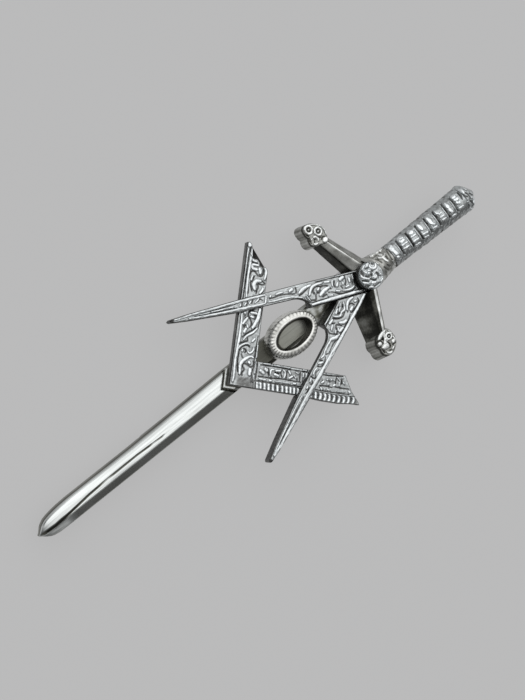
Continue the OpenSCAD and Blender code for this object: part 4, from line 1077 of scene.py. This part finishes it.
build_blade()
build_square()
build_leg(1, "leg_left_cast", "compass_leg_left", LEG_A_RAISED, LEG_A_SUNK)
build_leg(-1, "leg_right_cast", "compass_leg_right", LEG_B_RAISED, LEG_B_SUNK)
build_boss()
build_ring()
build_guard()
build_grip()
build_pommel()

back_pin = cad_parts["back_pin"]
back_pin.data.materials.clear()
back_pin.data.materials.append(STEEL)


# Floor, light and camera

FLOOR_HALF, FLOOR_DROP, FLOOR_GLOW = 1.2, 0.00002, 0.415
# Direction to the photo's camera: from the vertical, around it, and the roll about the line of sight.
CAM_TILT, CAM_TURN, CAM_ROLL = 0.3915, 2.6553, 2.9885
CAM_AIM, CAM_DISTANCE = Vector((0, 0, 0.0065)), 0.2
IMAGE_H, FOCAL, SHIFT_X, SHIFT_Y = 700, 1164.2, -11.095, -1.09


def build_floor():
    me = bpy.data.meshes.new("floor")
    s = FLOOR_HALF
    me.from_pydata([(-s, -s, 0), (s, -s, 0), (s, s, 0), (-s, s, 0)], [], [(0, 1, 2, 3)])
    mat, nt, bsdf = new_material("pale_floor")
    colour = ramp(nt, noise(nt, 30, 3, 0.5), [(0.0, (0.12, 0.12, 0.123)), (1.0, (0.126, 0.126, 0.129))])
    nt.links.new(colour, bsdf.inputs["Base Color"])
    put(bsdf, Roughness=0.9, Specular_IOR_Level=0.1)
    put(bsdf, Emission_Color=(1, 1, 1, 1), Emission_Strength=FLOOR_GLOW)
    me.materials.append(mat)
    o = add("floor", me)
    o.location = (0, 0, -FLOOR_DROP)


def build_world():
    """Soft light from above and from the blade's upper side, dark towards the horizon."""
    world = bpy.data.worlds.new("studio")
    SCENE.world = world
    world.use_nodes = True
    nt = world.node_tree
    nt.nodes.clear()
    out = new(nt, "OutputWorld")
    back = new(nt, "Background")
    nt.links.new(back.outputs[0], out.inputs["Surface"])
    coord = new(nt, "TexCoord")
    dot = new(nt, "VectorMath")
    dot.operation = "DOT_PRODUCT"
    dot.inputs[1].default_value = Vector((0.3, 0.4, 0.87)).normalized()
    nt.links.new(coord.outputs["Generated"], dot.inputs[0])
    stops = [(0.0, 0.11), (0.35, 0.15), (0.6, 0.34), (0.74, 0.65), (0.86, 1.0), (1.0, 1.0)]
    col = ramp(nt, dot.outputs["Value"], stops)
    nt.links.new(col, back.inputs["Color"])
    put(back, Strength=1.2)


def build_camera():
    cam = bpy.data.cameras.new("camera")
    o = add("camera", cam)
    turned = Matrix.Identity(4)
    for angle, axis in ((CAM_TURN, "Z"), (CAM_TILT, "Y"), (CAM_ROLL, "Z")):
        turned = turned @ Matrix.Rotation(angle, 4, axis)
    o.matrix_world = Matrix.Translation(CAM_AIM + turned.col[2].xyz * CAM_DISTANCE) @ turned
    cam.sensor_width = 36
    cam.lens = FOCAL * cam.sensor_width / IMAGE_H
    cam.shift_x = SHIFT_X / IMAGE_H
    cam.shift_y = SHIFT_Y / IMAGE_H
    cam.clip_start, cam.clip_end = 0.01, 10
    bpy.context.scene.camera = o
    SCENE.view_settings.view_transform = "Standard"


build_floor()
build_world()
build_camera()
